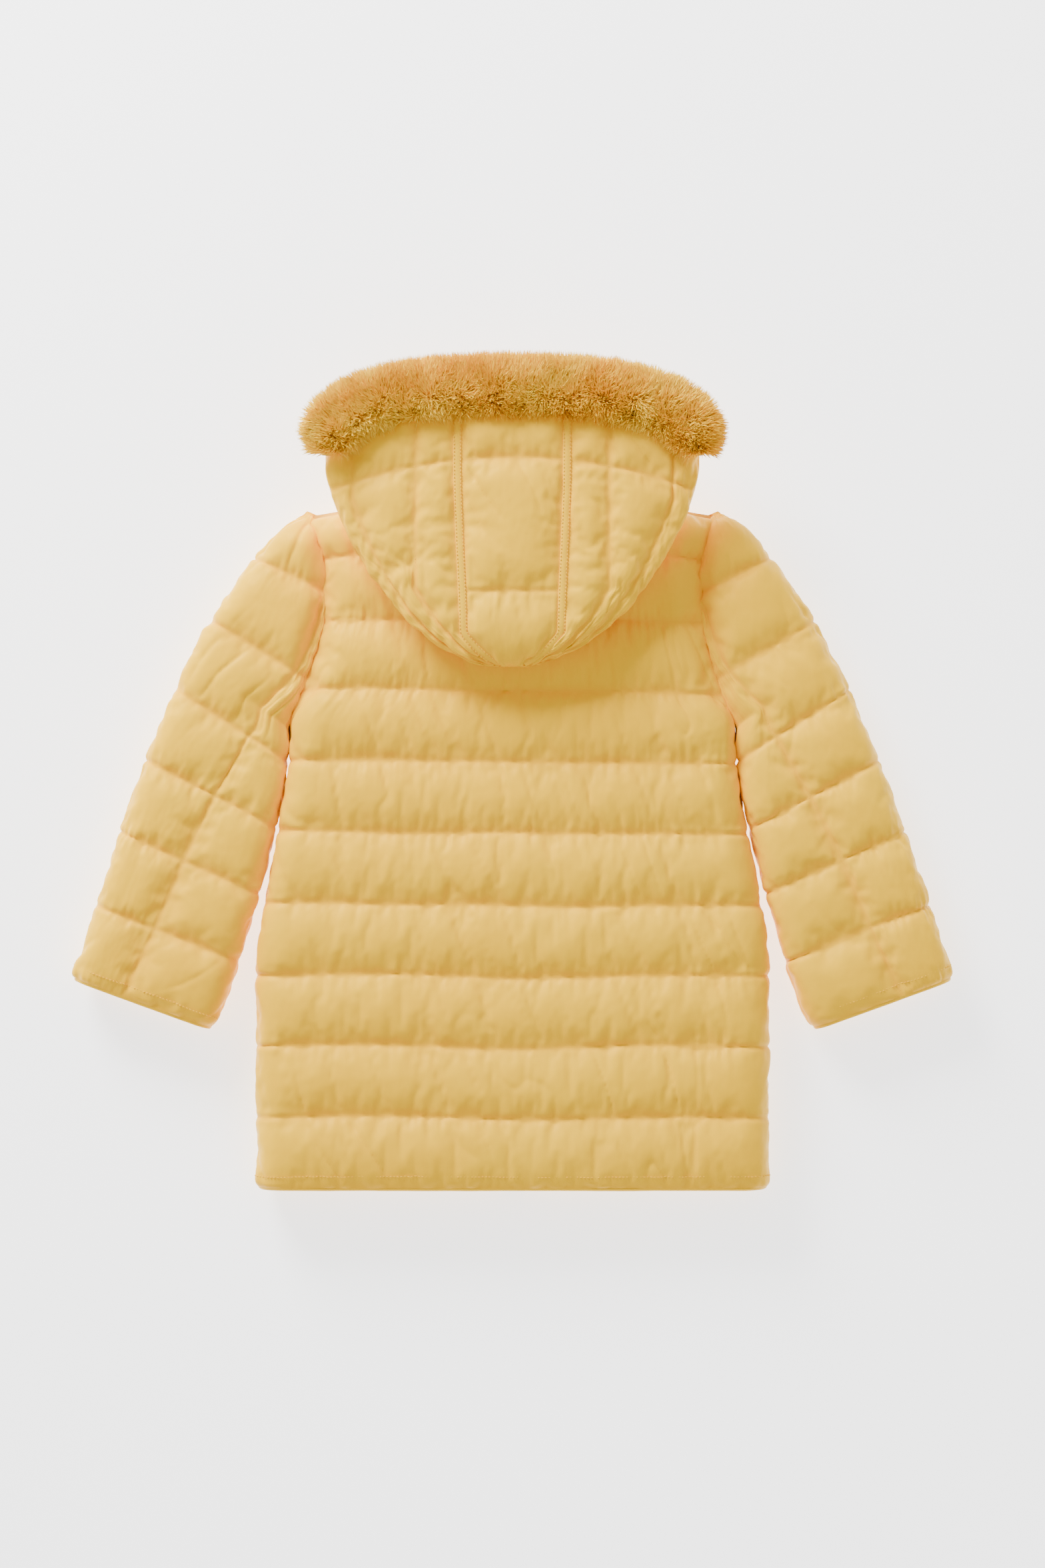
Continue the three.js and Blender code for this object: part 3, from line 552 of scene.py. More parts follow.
def sleeveEdges(count):
    # matching points on the outer and inner edges, from the shoulder to the cuff, in plan
    start = np.array([m["shoulderHalf"], m["shoulder"]])
    end = start + np.array([sleeve["reach"], -sleeve["drop"]])
    chord = end - start
    out = np.array([-chord[1], chord[0]]) / np.linalg.norm(chord)
    fine = bezier(np.linspace(0, 1, 400), start, start + 0.25 * chord + out * sleeve["cap"],
                  start + 0.62 * chord + out * sleeve["bow"], end)
    run = np.concatenate([[0.0], np.cumsum(np.linalg.norm(np.diff(fine, axis=0), axis=1))])
    share = np.linspace(0.0, 1.0, count)
    outer = np.stack([np.interp(share * run[-1], run, fine[:, k]) for k in (0, 1)], 1)
    tilt = math.radians(sleeve["tilt"])
    cuffIn = end - sleeve["cuff"] * np.array([math.cos(tilt), math.sin(tilt)])
    pitch = (sleeve["seam"] - sleeve["firstLine"]) / (sleeve["lines"] - 3)
    along = sleeve["firstLine"] + pitch * (share * sleeve["lines"] - 3)
    up = m["armpit"] + (cuffIn[1] - m["armpit"]) * along / sleeve["seam"]
    top = m["shoulder"] - m["armpit"]
    steepest = -along.min()
    up = np.where(along < 0, m["armpit"] + top * (-along / steepest) ** 0.96, up)
    t = np.clip(along / sleeve["seam"], 0.0, 1.0)
    beside = bodyHalf(up) + sleeve["clear"] + sleeve["standoff"] * t ** 4
    innerX = np.where(along < 0, armholeHalf(up) - 0.0015, beside)
    return outer, np.stack([innerX, up], 1), along


def sleeveGrid(step, sign, over, inset=0.0, split=0.5):
    outer, inner, along = sleeveEdges(int(round(0.52 / step)) // sleeve["lines"] * sleeve["lines"] + 1)
    count = len(along)
    widest = 0.215
    cols = int(round(widest / step)) // 2 * 2 + 1
    middle = int(cols * split)
    radiusFull = sleeve["depth"] / 2 - sleeve["sink"] - inset
    grid = np.zeros((count, cols, 3))
    shares = np.linspace(0.0, 1.0, count)
    seamShare = np.interp(shares, np.linspace(0, 1, len(sleeve["seamAt"])), sleeve["seamAt"])
    for i in range(count):
        a, b = outer[i], inner[i]
        length = max(np.linalg.norm(b - a), 0.010)
        settled = max(i, 7)
        way = (inner[settled] - outer[settled]) / np.linalg.norm(inner[settled] - outer[settled])
        half = length / 2 - inset * 0.5
        radius = min(radiusFull, half * 0.9)
        flat = half - radius
        wrap = float(fade(along[i], -0.004, 0.030))
        left = flat + radius * math.pi / 2
        right = left * wrap + (flat + radius) * (1 - wrap)
        if over > 0 and split < 0.99:
            at = seamShare[i]
            share = np.concatenate([np.linspace(0, at, middle + 1)[:-1], np.linspace(at, 1, cols - middle)])
        else:
            share = np.linspace(0, 1, cols)
        s = -left + share * (left + right)
        bend = np.clip((np.abs(s) - flat) / radius, 0.0, math.pi / 2)
        x = np.where(np.abs(s) < flat, s, np.sign(s) * (flat + radius * np.sin(bend)))
        z = radius * np.cos(bend)
        openX = s
        openZ = radius - fade(s, flat, flat + radius) * 0.012
        onRight = s > 0
        x = np.where(onRight, x * wrap + openX * (1 - wrap), x)
        z = np.where(onRight, z * wrap + openZ * (1 - wrap), z)
        rise = math.sqrt(max(1.0 - max(0.0, 1.0 - (i / (count - 1)) * 0.52 / 0.03) ** 2, 0.02))
        centre = (a + b) / 2 - np.array([0.0, 0.006]) * max(1.0 - i / 9.0, 0.0)
        grid[i, :, 0] = centre[0] + way[0] * x
        grid[i, :, 1] = centre[1] + way[1] * x
        grid[i, :, 2] = sleeve["depth"] / 2 + 0.001 + over * z * rise
    wave = wander(grid, 9.0, 31 + sign) * 0.003 * fade(np.arange(count)[:, None], 3, 10)
    wave = wave * fade(count - 1 - np.arange(count)[:, None], 0, 8)
    grid[..., 1] += hemY + wave
    grid[..., 0] *= sign
    return grid, middle


def buildUpperSleeve(sign, name):
    grid, middle = sleeveGrid(0.0040, sign, 1.0, split=0.58)
    count, cols = grid.shape[:2]
    rows = (count - 1) // sleeve["lines"]
    pinned = np.zeros((count, cols), bool)
    pinned[::rows] = True
    pinned[[0, 1, -1]] = True
    pinned[:, [0, -1]] = True
    seamStart = int(1.25 * rows)
    pinned[seamStart:, middle] = True
    panel = addPanel(name, grid, pinned, flip=sign < 0, seed=41 + sign)
    panel["lines"] = [[(k, j) for j in range(2, cols - 2)] for k in range(rows, count - 2, rows)]
    panel["lines"].append([(i, middle) for i in range(seamStart, count - 1)])
    panel["lines"].append([(count - 4, j) for j in range(2, cols - 2)])
    return panel


def buildUnderSleeve(sign, name):
    grid, _ = sleeveGrid(0.0058, sign, -1.0)
    count, cols = grid.shape[:2]
    rows = (count - 1) // sleeve["lines"]
    pinned = np.zeros((count, cols), bool)
    pinned[::rows] = True
    pinned[[0, -1]] = True
    pinned[:, [0, -1]] = True
    panel = addPanel(name, grid, pinned, flip=sign > 0, seed=51 + sign, onFloor=True, cap=0.010)
    panel["lines"] = [[(k, j) for j in range(2, cols - 2)] for k in range(rows, count - 2, rows)]
    return panel


# Hood

hood = {
    "brim": 0.690, "length": 0.189, "half": 0.181, "round": 1.4, "rim": 0.746, "band": 0.698,
    "bandSag": 0.030, "rimSag": 0.022, "seamTop": 0.052, "seamLow": 0.046, "line2": 0.092, "line3": 0.152,
    "sink": 0.008, "cross": 0.571, "strip": 0.0042,
}
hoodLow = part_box("hood_centre_panel")[0].z
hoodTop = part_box("hood_centre_panel")[1].z
hoodMid = (hoodLow + hoodTop) / 2


def hoodHalf(up):
    t = np.clip((hood["brim"] - np.asarray(up, float)) / hood["length"], 0.0, 1.0)
    return hood["half"] * np.sqrt(np.maximum(1.0 - t ** hood["round"], 0.0))


def hoodRow(start, cols, inset=0.0):
    # one row across the hood, where start is its height at the middle
    sag = hood["bandSag"] * float(fade(start, 0.55, hood["band"]))
    sag += (hood["rimSag"] - hood["bandSag"]) * float(fade(start, hood["band"], hood["rim"]))
    half = float(hoodHalf(start - sag)) - inset - 0.003
    seam = hood["seamLow"] + (hood["seamTop"] - hood["seamLow"]) * float(fade(start, 0.51, 0.70))
    stops = [0.0, min(seam, half * 0.56), min(hood["line2"], half * 0.74)]
    stops += [min(hood["line3"], half * 0.90), half]
    share = [0.0, cols[0], cols[0] + cols[1], cols[0] + cols[1] + cols[2], sum(cols)]
    x = np.interp(np.arange(sum(cols) + 1), share, stops)
    x = np.concatenate([-x[::-1], x[1:]])
    reach = np.abs(x) / max(half, 1e-6)
    y = start - sag * reach ** 2
    rise = (1.0 - reach ** 3.2) ** 0.5
    fromCrown = np.clip(1.0 - (start - (hood["brim"] - hood["length"])) / 0.045, 0.0, 1.0)
    return x, y, rise * math.sqrt(max(1.0 - fromCrown ** 2, 0.0))


def hoodGrid(step, up, inset=0.0, start=0.5025):
    cols = [max(int(round(w / step)), 2) for w in (0.050, 0.042, 0.060, 0.040)]
    bandRow = int(round((hood["band"] - start) / step))
    rimRow = bandRow + int(round((hood["rim"] - hood["band"]) / step))
    rise = np.linspace(0.0, 1.0, bandRow + 1)
    rise = np.where(rise < 0.16, rise ** 2 / 0.32, rise - 0.08) / 0.92
    starts = np.concatenate([start + (hood["band"] - start) * rise,
                             np.linspace(hood["band"], hood["rim"], rimRow - bandRow + 1)[1:]])
    radius = (hoodTop - hoodLow) / 2 - inset - (hood["sink"] if up > 0 else 0.002)
    rows = []
    for s in starts:
        x, y, rise = hoodRow(float(s), cols, inset)
        rows.append(np.stack([x, y + hemY, hoodMid + up * radius * rise], 1))
    grid = np.array(rows)
    marks = {"band": bandRow, "cols": cols, "cross": int(np.argmin(np.abs(starts - hood["cross"])))}
    return grid, marks


def buildHood():
    grid, marks = hoodGrid(0.0036, 1.0)
    count, width = grid.shape[:2]
    c = marks["cols"]
    middle = sum(c)
    lines = [middle - c[0], middle + c[0]]
    second = c[0] + c[1]
    third = second + c[2]
    outer = [middle - second, middle + second, middle - third, middle + third]
    pinned = np.zeros((count, width), bool)
    pinned[[0, -1]] = True
    pinned[:, [0, -1]] = True
    for j in lines:
        pinned[:, j - 1:j + 2] = True
    for j in outer:
        pinned[:, j] = True
    pinned[marks["band"]] = True
    pinned[marks["cross"], lines[0]:lines[1] + 1] = True
    panel = addPanel("hoodCrown", grid, pinned, seed=61, cap=0.014)
    panel["seams"] = lines
    panel["lines"] = [[(i, j) for i in range(2, count - 1)] for j in outer]
    panel["lines"].append([(marks["band"], j) for j in range(1, width - 1)])
    panel["lines"].append([(marks["cross"], j) for j in range(lines[0] + 2, lines[1] - 1)])
    return panel


backPanel = buildBack()
frontPanels = {1: buildFront(1, "rightFrontPanel"), -1: buildFront(-1, "leftFrontPanel")}
upperSleeves = {1: buildUpperSleeve(1, "rightUpperSleeve"), -1: buildUpperSleeve(-1, "leftUpperSleeve")}
underSleeves = {1: buildUnderSleeve(1, "rightUnderSleeve"), -1: buildUnderSleeve(-1, "leftUnderSleeve")}
hoodPanel = buildHood()
print("panels laid out:", sum(p["base"].shape[0] * p["base"].shape[1] for p in panels), "points")
runPadding()
print("padding simulated")

# Fine puckers and folds, on the finished cloth, and painted shade along the sewn lines

# shade and shadeReach set the strength and reach of the painted shade along the sewn lines; the rest shape
# the cloth
rumple = {"pucker": 0.0024, "near": 0.011, "fold": 0.0016, "crease": 0.0024, "fine": 0.00022,
          "shade": 0.5, "shadeReach": 0.0032}


def finishPanel(panel):
    # smooths the panel, then adds the puckers that the stitching draws up and the folds between, and stores
    # the painted shade along the sewn lines
    piece = panel["piece"]
    mesh = piece.data
    base = panel["base"]
    stepDown = float(np.median(np.linalg.norm(np.diff(base, axis=0), axis=2)))
    stepAcross = float(np.median(np.linalg.norm(np.diff(base, axis=1), axis=2)))
    rows, cols = base.shape[:2]
    down, across = np.meshgrid(np.arange(rows) * stepDown, np.arange(cols) * stepAcross, indexing="ij")
    reach = sewnReach(panel["pinned"], stepDown)
    for name, values in (("reach", reach), ("down", down), ("across", across)):
        layer = mesh.attributes.new(name, "FLOAT", "POINT")
        layer.data.foreach_set("value", values.ravel().astype(np.float32))
    smoothPiece(piece)
    mesh = piece.data
    found = {}
    for name in ("reach", "down", "across"):
        values = np.empty(len(mesh.vertices), np.float32)
        mesh.attributes[name].data.foreach_get("value", values)
        found[name] = values.astype(float)
        mesh.attributes.remove(mesh.attributes[name])
    normals = np.empty(len(mesh.vertices) * 3)
    mesh.vertices.foreach_get("normal", normals)
    seed = panel["seed"] * 0.37
    a, d, r = found["across"], found["down"], found["reach"]
    sewn = np.exp(-r / rumple["near"]) * fade(r, 0.0, 0.003)
    strength = 0.35 + 0.9 * fade(wander(np.stack([a, d, 0 * a + seed], 1), 16.0, 5), -0.2, 0.5)
    lift = rumple["pucker"] * sewn * strength * (
        wander(np.stack([a, d * 0.16, 0 * a + seed], 1), 105.0, 1)
        + 0.7 * wander(np.stack([a, d * 0.16, 0 * a + seed], 1), 230.0, 2))
    slant = wander(np.stack([a, d, 0 * a + seed], 1), 5.0, 3)
    bent = np.stack([a + slant * 0.05 + d * 0.25, d * 0.20, 0 * a + seed], 1)
    waves = wander(bent, 30.0, 7)
    ridge = np.exp(-np.abs(waves) / 0.07) * fade(wander(np.stack([a, d, 0 * a + seed], 1), 11.0, 8), 0.0, 0.4)
    lift += (rumple["fold"] * waves - rumple["crease"] * ridge) * fade(r, 0.0, 0.010)
    lift += rumple["fine"] * wander(np.stack([a, d * 0.5, 0 * a + seed], 1), 260.0, 11) * fade(r, 0.0, 0.004)
    moved = coordsOf(mesh) + normals.reshape(-1, 3) * lift[:, None]
    if panel["onFloor"]:
        moved[:, 2] = np.maximum(moved[:, 2], puffing["floor"] * 0.5)
    mesh.vertices.foreach_set("co", moved.ravel())
    # painted shade: strongest on the sewn lines and the panel edges, fading within a few millimetres, kept as
    # the sewn attribute that darkens the shell colour
    shade = rumple["shade"] * np.exp(-r / rumple["shadeReach"])
    mesh.attributes.new("sewn", "FLOAT", "POINT").data.foreach_set("value", shade.astype(np.float32))
    mesh.update()


# Sewing

stitch = {"length": 0.0026, "pitch": 0.0035, "width": 0.0009, "lift": 0.0004}


def stitchMesh(name, paths, body):
    # short threads lying along each path: a path is (points, normals)
    verts = []
    faces = []
    for points, normals in paths:
        run = np.concatenate([[0.0], np.cumsum(np.linalg.norm(np.diff(points, axis=0), axis=1))])
        if run[-1] < 0.01:
            continue
        starts = np.arange(0.001, run[-1] - stitch["length"], stitch["pitch"])
        for s in starts:
            ends = []
            for t in (0.0, 0.5, 1.0):
                at = s + t * stitch["length"]
                ends.append(np.array([np.interp(at, run, points[:, k]) for k in range(3)]))
            normal = np.array([np.interp(s, run, normals[:, k]) for k in range(3)])
            way = ends[2] - ends[0]
            way /= max(np.linalg.norm(way), 1e-9)
            side = np.cross(way, normal)
            side /= max(np.linalg.norm(side), 1e-9)
            first = len(verts)
            for t, end in zip((0.45, 1.0, 0.45), ends):
                centre = end + normal * (stitch["lift"] * (1.0 if t > 0.9 else -0.8))
                for k in range(5):
                    turn = k * 2 * math.pi / 5
                    offset = side * math.cos(turn) + normal * math.sin(turn)
                    verts.append(tuple(centre + offset * stitch["width"] * 0.5 * t))
            for ring in (0, 5):
                for k in range(5):
                    a = first + ring + k
                    b = first + ring + (k + 1) % 5
                    faces.append((a, b, b + 5, a + 5))
            faces.append(tuple(first + k for k in range(4, -1, -1)))
            faces.append(tuple(first + 10 + k for k in range(5)))
    mesh = bpy.data.meshes.new(name)
    mesh.from_pydata(verts, [], faces)
    mesh.materials.append(threadMat)
    mesh.polygons.foreach_set("use_smooth", [True] * len(mesh.polygons))
    piece = bpy.data.objects.new(name, mesh)
    bpy.context.scene.collection.objects.link(piece)
    if body:
        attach(piece, body)
    return piece


def panelPaths(panel):
    normals = gridNormals(panel["shape"], panel["flip"])
    paths = []
    for line in panel["lines"]:
        rows = np.array([p[0] for p in line])
        cols = np.array([p[1] for p in line])
        paths.append((panel["shape"][rows, cols], normals[rows, cols]))
    return paths


def joinSleeve(piece):
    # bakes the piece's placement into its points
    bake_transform(piece)


finishPanel(backPanel)
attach(backPanel["piece"], "coat_body")
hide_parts("back_shell", "back_padding")
stitchMesh("backStitches", panelPaths(backPanel), "coat_body")

for sign, word in ((1, "right"), (-1, "left")):
    front = frontPanels[sign]
    finishPanel(front)
    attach(front["piece"], "coat_body")
    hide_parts(word + "_front_shell", word + "_front_padding", word + "_pocket_padding")
    stitchMesh(word + "FrontStitches", panelPaths(front), "coat_body")
    upper = upperSleeves[sign]
    under = underSleeves[sign]
    for part, node in ((upper, "upper"), (under, "under")):
        finishPanel(part)
        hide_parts(f"{word}_{node}_sleeve_shell", f"{word}_{node}_sleeve_padding")
        joinSleeve(part["piece"])
        threads = stitchMesh(f"{word}{node.title()}SleeveStitches", panelPaths(part), None)
        joinSleeve(threads)
print("body and sleeves sewn")

finishPanel(hoodPanel)
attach(hoodPanel["piece"], "hood")
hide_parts("hood_left_panel", "hood_centre_panel", "hood_right_panel", "hood_brim_band",
            "hood_crown_padding")
stitchMesh("hoodStitches", panelPaths(hoodPanel), "hood")

# Hood seams: raised strips with a row of stitches on each side


def buildHoodSeams():
    shape = hoodPanel["shape"]
    normals = gridNormals(shape)
    paths = []
    for number, column in enumerate(hoodPanel["seams"]):
        line = shape[2:, column]
        out = normals[2:, column]
        way = np.gradient(line, axis=0)
        way /= np.linalg.norm(way, axis=1, keepdims=True)
        side = np.cross(way, out)
        profile = [(-1.15, -0.0016), (-1.0, 0.0008), (-0.6, 0.0020), (0.0, 0.0022), (0.6, 0.0020),
                   (1.0, 0.0008), (1.15, -0.0016)]
        ripple = wander(line[:, None, :], 90.0, 71 + number)[:, 0]
        rows = [line + side * (a * hood["strip"]) + out * (h + 0.0005 * ripple * (abs(a) < 0.9))[:, None]
                for a, h in profile]
        grid = np.stack(rows, 1)
        strip = gridPiece("hoodSeam" + "LR"[number], grid, shellMat)
        smoothPiece(strip)
        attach(strip, "hood")
        for a in (-0.72, 0.72):
            paths.append((line + side * (a * hood["strip"]) + out * 0.0019, out))
    stitchMesh("hoodSeamStitches", paths, "hood")


buildHoodSeams()

# Hood underside, lining and rim


def softPiece(name, grid, mat, body, flip=False, wrinkle=0.0008, seed=80):
    out = gridNormals(grid, flip)
    bumps = wander(grid, 28.0, seed) + 0.5 * wander(grid, 70.0, seed + 1)
    shaped = grid + out * (wrinkle * bumps)[..., None]
    piece = gridPiece(name, shaped, mat, flip)
    smoothPiece(piece)
    if body:
        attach(piece, body)
    return piece


def buildHoodInside():
    nape, _ = hoodGrid(0.0070, -1.0)
    piece = softPiece("hoodNape", nape, shellMat, "hood", flip=True, seed=81)
    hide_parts("hood_nape_padding")
    for up, seed in ((1.0, 83), (-1.0, 85)):
        inner, _ = hoodGrid(0.0080, up, inset=0.0125 if up < 0 else 0.0095, start=0.520)
        name = "hoodLiningTop" if up > 0 else "hoodLiningNape"
        part = softPiece(name, inner, liningMat, "hood", flip=up > 0, seed=seed)
        if up > 0:
            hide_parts("hood_lining")
    # the crown's edge: the outer cloth carried round from the top to the nape
    crownTop = hoodPanel["shape"]
    low, _ = hoodGrid(0.0036, -1.0)
    steps = 7
    rows = []
    for k in range(steps + 1):
        turn = math.pi * k / steps
        mixed = crownTop[0] + (low[0] - crownTop[0]) * (1 - math.cos(turn)) / 2
        rows.append(mixed + np.array([0.0, -0.002 * math.sin(turn), 0.0]))
    softPiece("hoodCrownEdge", np.array(rows), shellMat, "hood", flip=True, seed=88)
    # the rim: cloth turned in from the brim to the lining, under the fur
    for up, outerRow, name in ((1.0, crownTop[-1], "hoodRimTop"), (-1.0, low[-1], "hoodRimNape")):
        inner, _ = hoodGrid(0.0036, up, inset=0.0125 if up < 0 else 0.0095)
        rows = []
        for k in range(6):
            turn = math.pi * k / 5
            mixed = outerRow + (inner[-1] - outerRow) * (1 - math.cos(turn)) / 2
            rows.append(mixed + np.array([0.0, 0.0035 * math.sin(turn), 0.0]))
        softPiece(name, np.array(rows), shellMat, "hood", flip=up < 0, seed=90)


buildHoodInside()
print("hood made")

# Fur trim

fur = {
    "span": 0.352, "rise": 0.064, "centre": 0.700, "square": 2.6, "core": (0.0205, 0.0130),
    "count": 36000, "long": 0.0165, "short": 0.0100, "width": 0.0007, "pieces": 2,
}
furLow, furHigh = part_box("fur_trim")
furMidZ = (furLow.z + furHigh.z) / 2


def furArch(t):
    # the middle of the fur in plan, t from 0 at the left end to 1 at the right
    turn = math.pi * (1 - np.asarray(t, float))
    c, s = np.cos(turn), np.sin(turn)
    x = fur["span"] / 2 * np.sign(c) * np.abs(c) ** (2 / fur["square"])
    y = fur["centre"] + fur["rise"] * np.abs(s) ** (2 / fur["square"])
    return np.stack([x, y + hemY, np.full_like(x, furMidZ)], -1)


def alongRows(values, t):
    # what the rows give at t, from 0 at the first row to 1 at the last
    at = t * (len(values) - 1)
    return np.stack([np.interp(at, np.arange(len(values)), values[:, k]) for k in range(3)], 1)


def furFrames(count):
    fine = furArch(np.linspace(0, 1, 2000))
    run = np.concatenate([[0.0], np.cumsum(np.linalg.norm(np.diff(fine, axis=0), axis=1))])
    at = np.linspace(0.0, run[-1], count)
    line = np.stack([np.interp(at, run, fine[:, k]) for k in range(3)], 1)
    way = np.gradient(line, axis=0)
    way /= np.linalg.norm(way, axis=1, keepdims=True)
    side = np.stack([-way[:, 1], way[:, 0], np.zeros(count)], 1)
    return line, side


def buildFur():
    rows = 90
    line, side = furFrames(rows)
    ring = 20
    grid = np.zeros((rows, ring + 1, 3))
    taper = np.sqrt(np.clip(np.minimum(np.arange(rows), rows - 1 - np.arange(rows)) / 5.0, 0.05, 1.0))
    for k in range(ring + 1):
        turn = 2 * math.pi * k / ring
        grid[:, k] = line + side * (fur["core"][0] * math.cos(turn) * taper)[:, None]
        grid[:, k, 2] += fur["core"][1] * math.sin(turn) * taper
    core = gridPiece("furBacking", grid, furMat)
    core.data.attributes.new("along", "FLOAT", "POINT")
    smoothPiece(core)
    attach(core, "hood")
    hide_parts("fur_backing")
    rng = np.random.default_rng(7)
    n = int(fur["count"] * (1.0))
    for part in range(fur["pieces"]):
        t = rng.random(n) * 0.988 + 0.006
        lineT = alongRows(line, t)
        sideT = alongRows(side, t)
        turn = rng.random(n) * 2 * math.pi
        endTaper = np.interp(t * (rows - 1), np.arange(rows), taper)
        out = sideT * np.cos(turn)[:, None] + np.array([0, 0, 1.0]) * np.sin(turn)[:, None]
        root = lineT + sideT * (fur["core"][0] * np.cos(turn) * endTaper)[:, None]
        root[:, 2] += fur["core"][1] * np.sin(turn) * endTaper
        clump = np.stack([wander(root[:, None, :], 60.0, 100 + k)[:, 0] for k in range(3)], 1)
        strayA = rng.normal(0, 1, (n, 3))
        length = fur["short"] + (fur["long"] - fur["short"]) * rng.random(n)
        length *= 0.78 + 0.22 * np.cos(turn) ** 2
        lean = out + clump * 0.55 + strayA * 0.20 + sideT * 0.35
        lean /= np.linalg.norm(lean, axis=1, keepdims=True)
        droop = clump * 0.55 + strayA * 0.12 + sideT * 0.25
        tip = lean + droop
        tip /= np.linalg.norm(tip, axis=1, keepdims=True)
        middle = root + lean * (length * 0.5)[:, None]
        end = middle + tip * (length * 0.55)[:, None]
        across = np.cross(lean, rng.normal(0, 1, (n, 3)))
        across /= np.linalg.norm(across, axis=1, keepdims=True)
        w = fur["width"] * (0.7 + 0.6 * rng.random(n))[:, None]
        verts = np.stack([root - across * w, root + across * w, middle - across * w * 0.8,
                          middle + across * w * 0.8, end], 1).reshape(-1, 3)
        verts[:, 2] = np.clip(verts[:, 2], furLow.z - 0.002, furHigh.z + 0.004)
        base = np.arange(n)[:, None] * 5
        quads = (base + np.array([0, 1, 3, 2])).tolist()
        tips = (base + np.array([2, 3, 4])).tolist()
        mesh = bpy.data.meshes.new(f"furPile{part + 1}")
        mesh.from_pydata(verts.tolist(), [], quads + tips)
        mesh.materials.append(furMat)
        mesh.polygons.foreach_set("use_smooth", [True] * len(mesh.polygons))
        tone = np.tile([0.0, 0.0, 0.75, 0.75, 1.0], n) * np.repeat(0.85 + 0.15 * rng.random(n), 5)
        mesh.attributes.new("along", "FLOAT", "POINT").data.foreach_set("value", tone.astype(np.float32))
        perRow = int(math.ceil(math.sqrt(n)))
        cell = 1.0 / perRow
        index = np.arange(n)
        u0 = (index % perRow) * cell
        v0 = (index // perRow) * cell
        corner = np.array([[0.1, 0.1], [0.9, 0.1], [0.15, 0.55], [0.85, 0.55], [0.5, 0.95]]) * cell
        uvs = (np.stack([u0, v0], 1)[:, None, :] + corner[None]).reshape(-1, 2)
        loopVerts = np.empty(len(mesh.loops), int)
        mesh.loops.foreach_get("vertex_index", loopVerts)
        layer = mesh.uv_layers.new(name="OFBake")
        layer.uv.foreach_set("vector", uvs[loopVerts].ravel())
        piece = bpy.data.objects.new(f"furPile{part + 1}", mesh)
        bpy.context.scene.collection.objects.link(piece)
        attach(piece, "hood")
        if part == 0:
            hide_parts("fur_trim")


buildFur()
print("fur made")

# Inside: linings, facings and turned edges

inside = {"depth": 0.0088, "sleeveDepth": 0.0062, "facing": 0.030, "cuffRows": 4}


def edgeRoll(name, outerRow, innerRow, push, body, flip=False, seed=120):
    rows = []
    for k in range(6):
        turn = math.pi * k / 5
        rows.append(outerRow + (innerRow - outerRow) * (1 - math.cos(turn)) / 2 + push * math.sin(turn))
    return shellPiece(name, np.array(rows), body, flip, seed, 0.0003)


def shellPiece(name, grid, body, flip, seed, wrinkle=0.0008):
    return softPiece(name, grid, shellMat, body, flip=flip, wrinkle=wrinkle, seed=seed)


def liningPiece(name, grid, body, flip, seed):
    return softPiece(name, grid, liningMat, body, flip=flip, seed=seed)


def matchRow(row, count):
    # the same line with a given number of points
    share = np.linspace(0, 1, len(row))
    return np.stack([np.interp(np.linspace(0, 1, count), share, row[:, k]) for k in range(3)], 1)


def buildBodyInside():
    grid, rows = backGrid(0.0090, inside["depth"])
    facing = max(int(round(inside["facing"] / (m["pitch"] / rows))), 2)
    lining = liningPiece("backLining", grid[facing:], "coat_body", True, 91)
    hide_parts("back_lining")
    band = shellPiece("backHemFacing", grid[:facing + 1], "coat_body", True, 92)
    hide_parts("back_hem_facing")
    outer = backPanel["shape"][0]
    inner = matchRow(grid[0], len(outer))
    edgeRoll("backHemEdge", outer, inner, np.array([0, -0.003, 0]), "coat_body", flip=True, seed=93)
    for sign, word in ((1, "right"), (-1, "left")):
        grid, rows = frontGrid(0.0090, sign, inside["depth"])
        grid = np.maximum(grid, [-9, -9, 0.012])
        lining = liningPiece(word + "FrontLining", grid[facing:], "coat_body", sign < 0, 94)
        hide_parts(word + "_front_lining")
        band = shellPiece(word + "FrontHemFacing", grid[:facing + 1], "coat_body", sign < 0, 95)
        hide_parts(word + "_front_hem_facing")
        outer = frontPanels[sign]["shape"][0]
        inner = matchRow(grid[0], len(outer))
        push = np.array([0, -0.003, 0])
        edgeRoll(word + "FrontHemEdge", outer, inner, push, "coat_body", flip=sign < 0, seed=96)
        sleeveInside(sign, word)


def sleeveInside(sign, word):
    tilt = math.radians(sleeve["tilt"])
    push = np.array([sign * math.sin(tilt), -math.cos(tilt), 0.0]) * 0.003
    for over, node in ((1.0, "Upper"), (-1.0, "Under")):
        grid, _ = sleeveGrid(0.0090, sign, over, inside["sleeveDepth"])
        facing = inside["cuffRows"]
        flip = (sign > 0) == (over > 0)
        lining = liningPiece(f"{word}{node}SleeveLining", grid[:-facing], None, flip, 97)
        band = shellPiece(f"{word}{node}CuffFacing", grid[-facing - 1:], None, flip, 98)
        outer = (upperSleeves if over > 0 else underSleeves)[sign]["shape"][-1]
        inner = matchRow(grid[-1], len(outer))
        edge = edgeRoll(f"{word}{node}CuffEdge", outer, inner, push, None, flip=not flip, seed=99)
        if over > 0:
            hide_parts(word + "_sleeve_lining")
            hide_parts(word + "_cuff_facing")
        for piece in (lining, band, edge):
            joinSleeve(piece)


buildBodyInside()
print("linings made")

# Collar

collar = {"points": 150, "rows": 14, "gap": 0.010, "lining": 0.009, "puff": 0.0035, "tuck": 0.018}
collarLow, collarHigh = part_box("collar_shell")


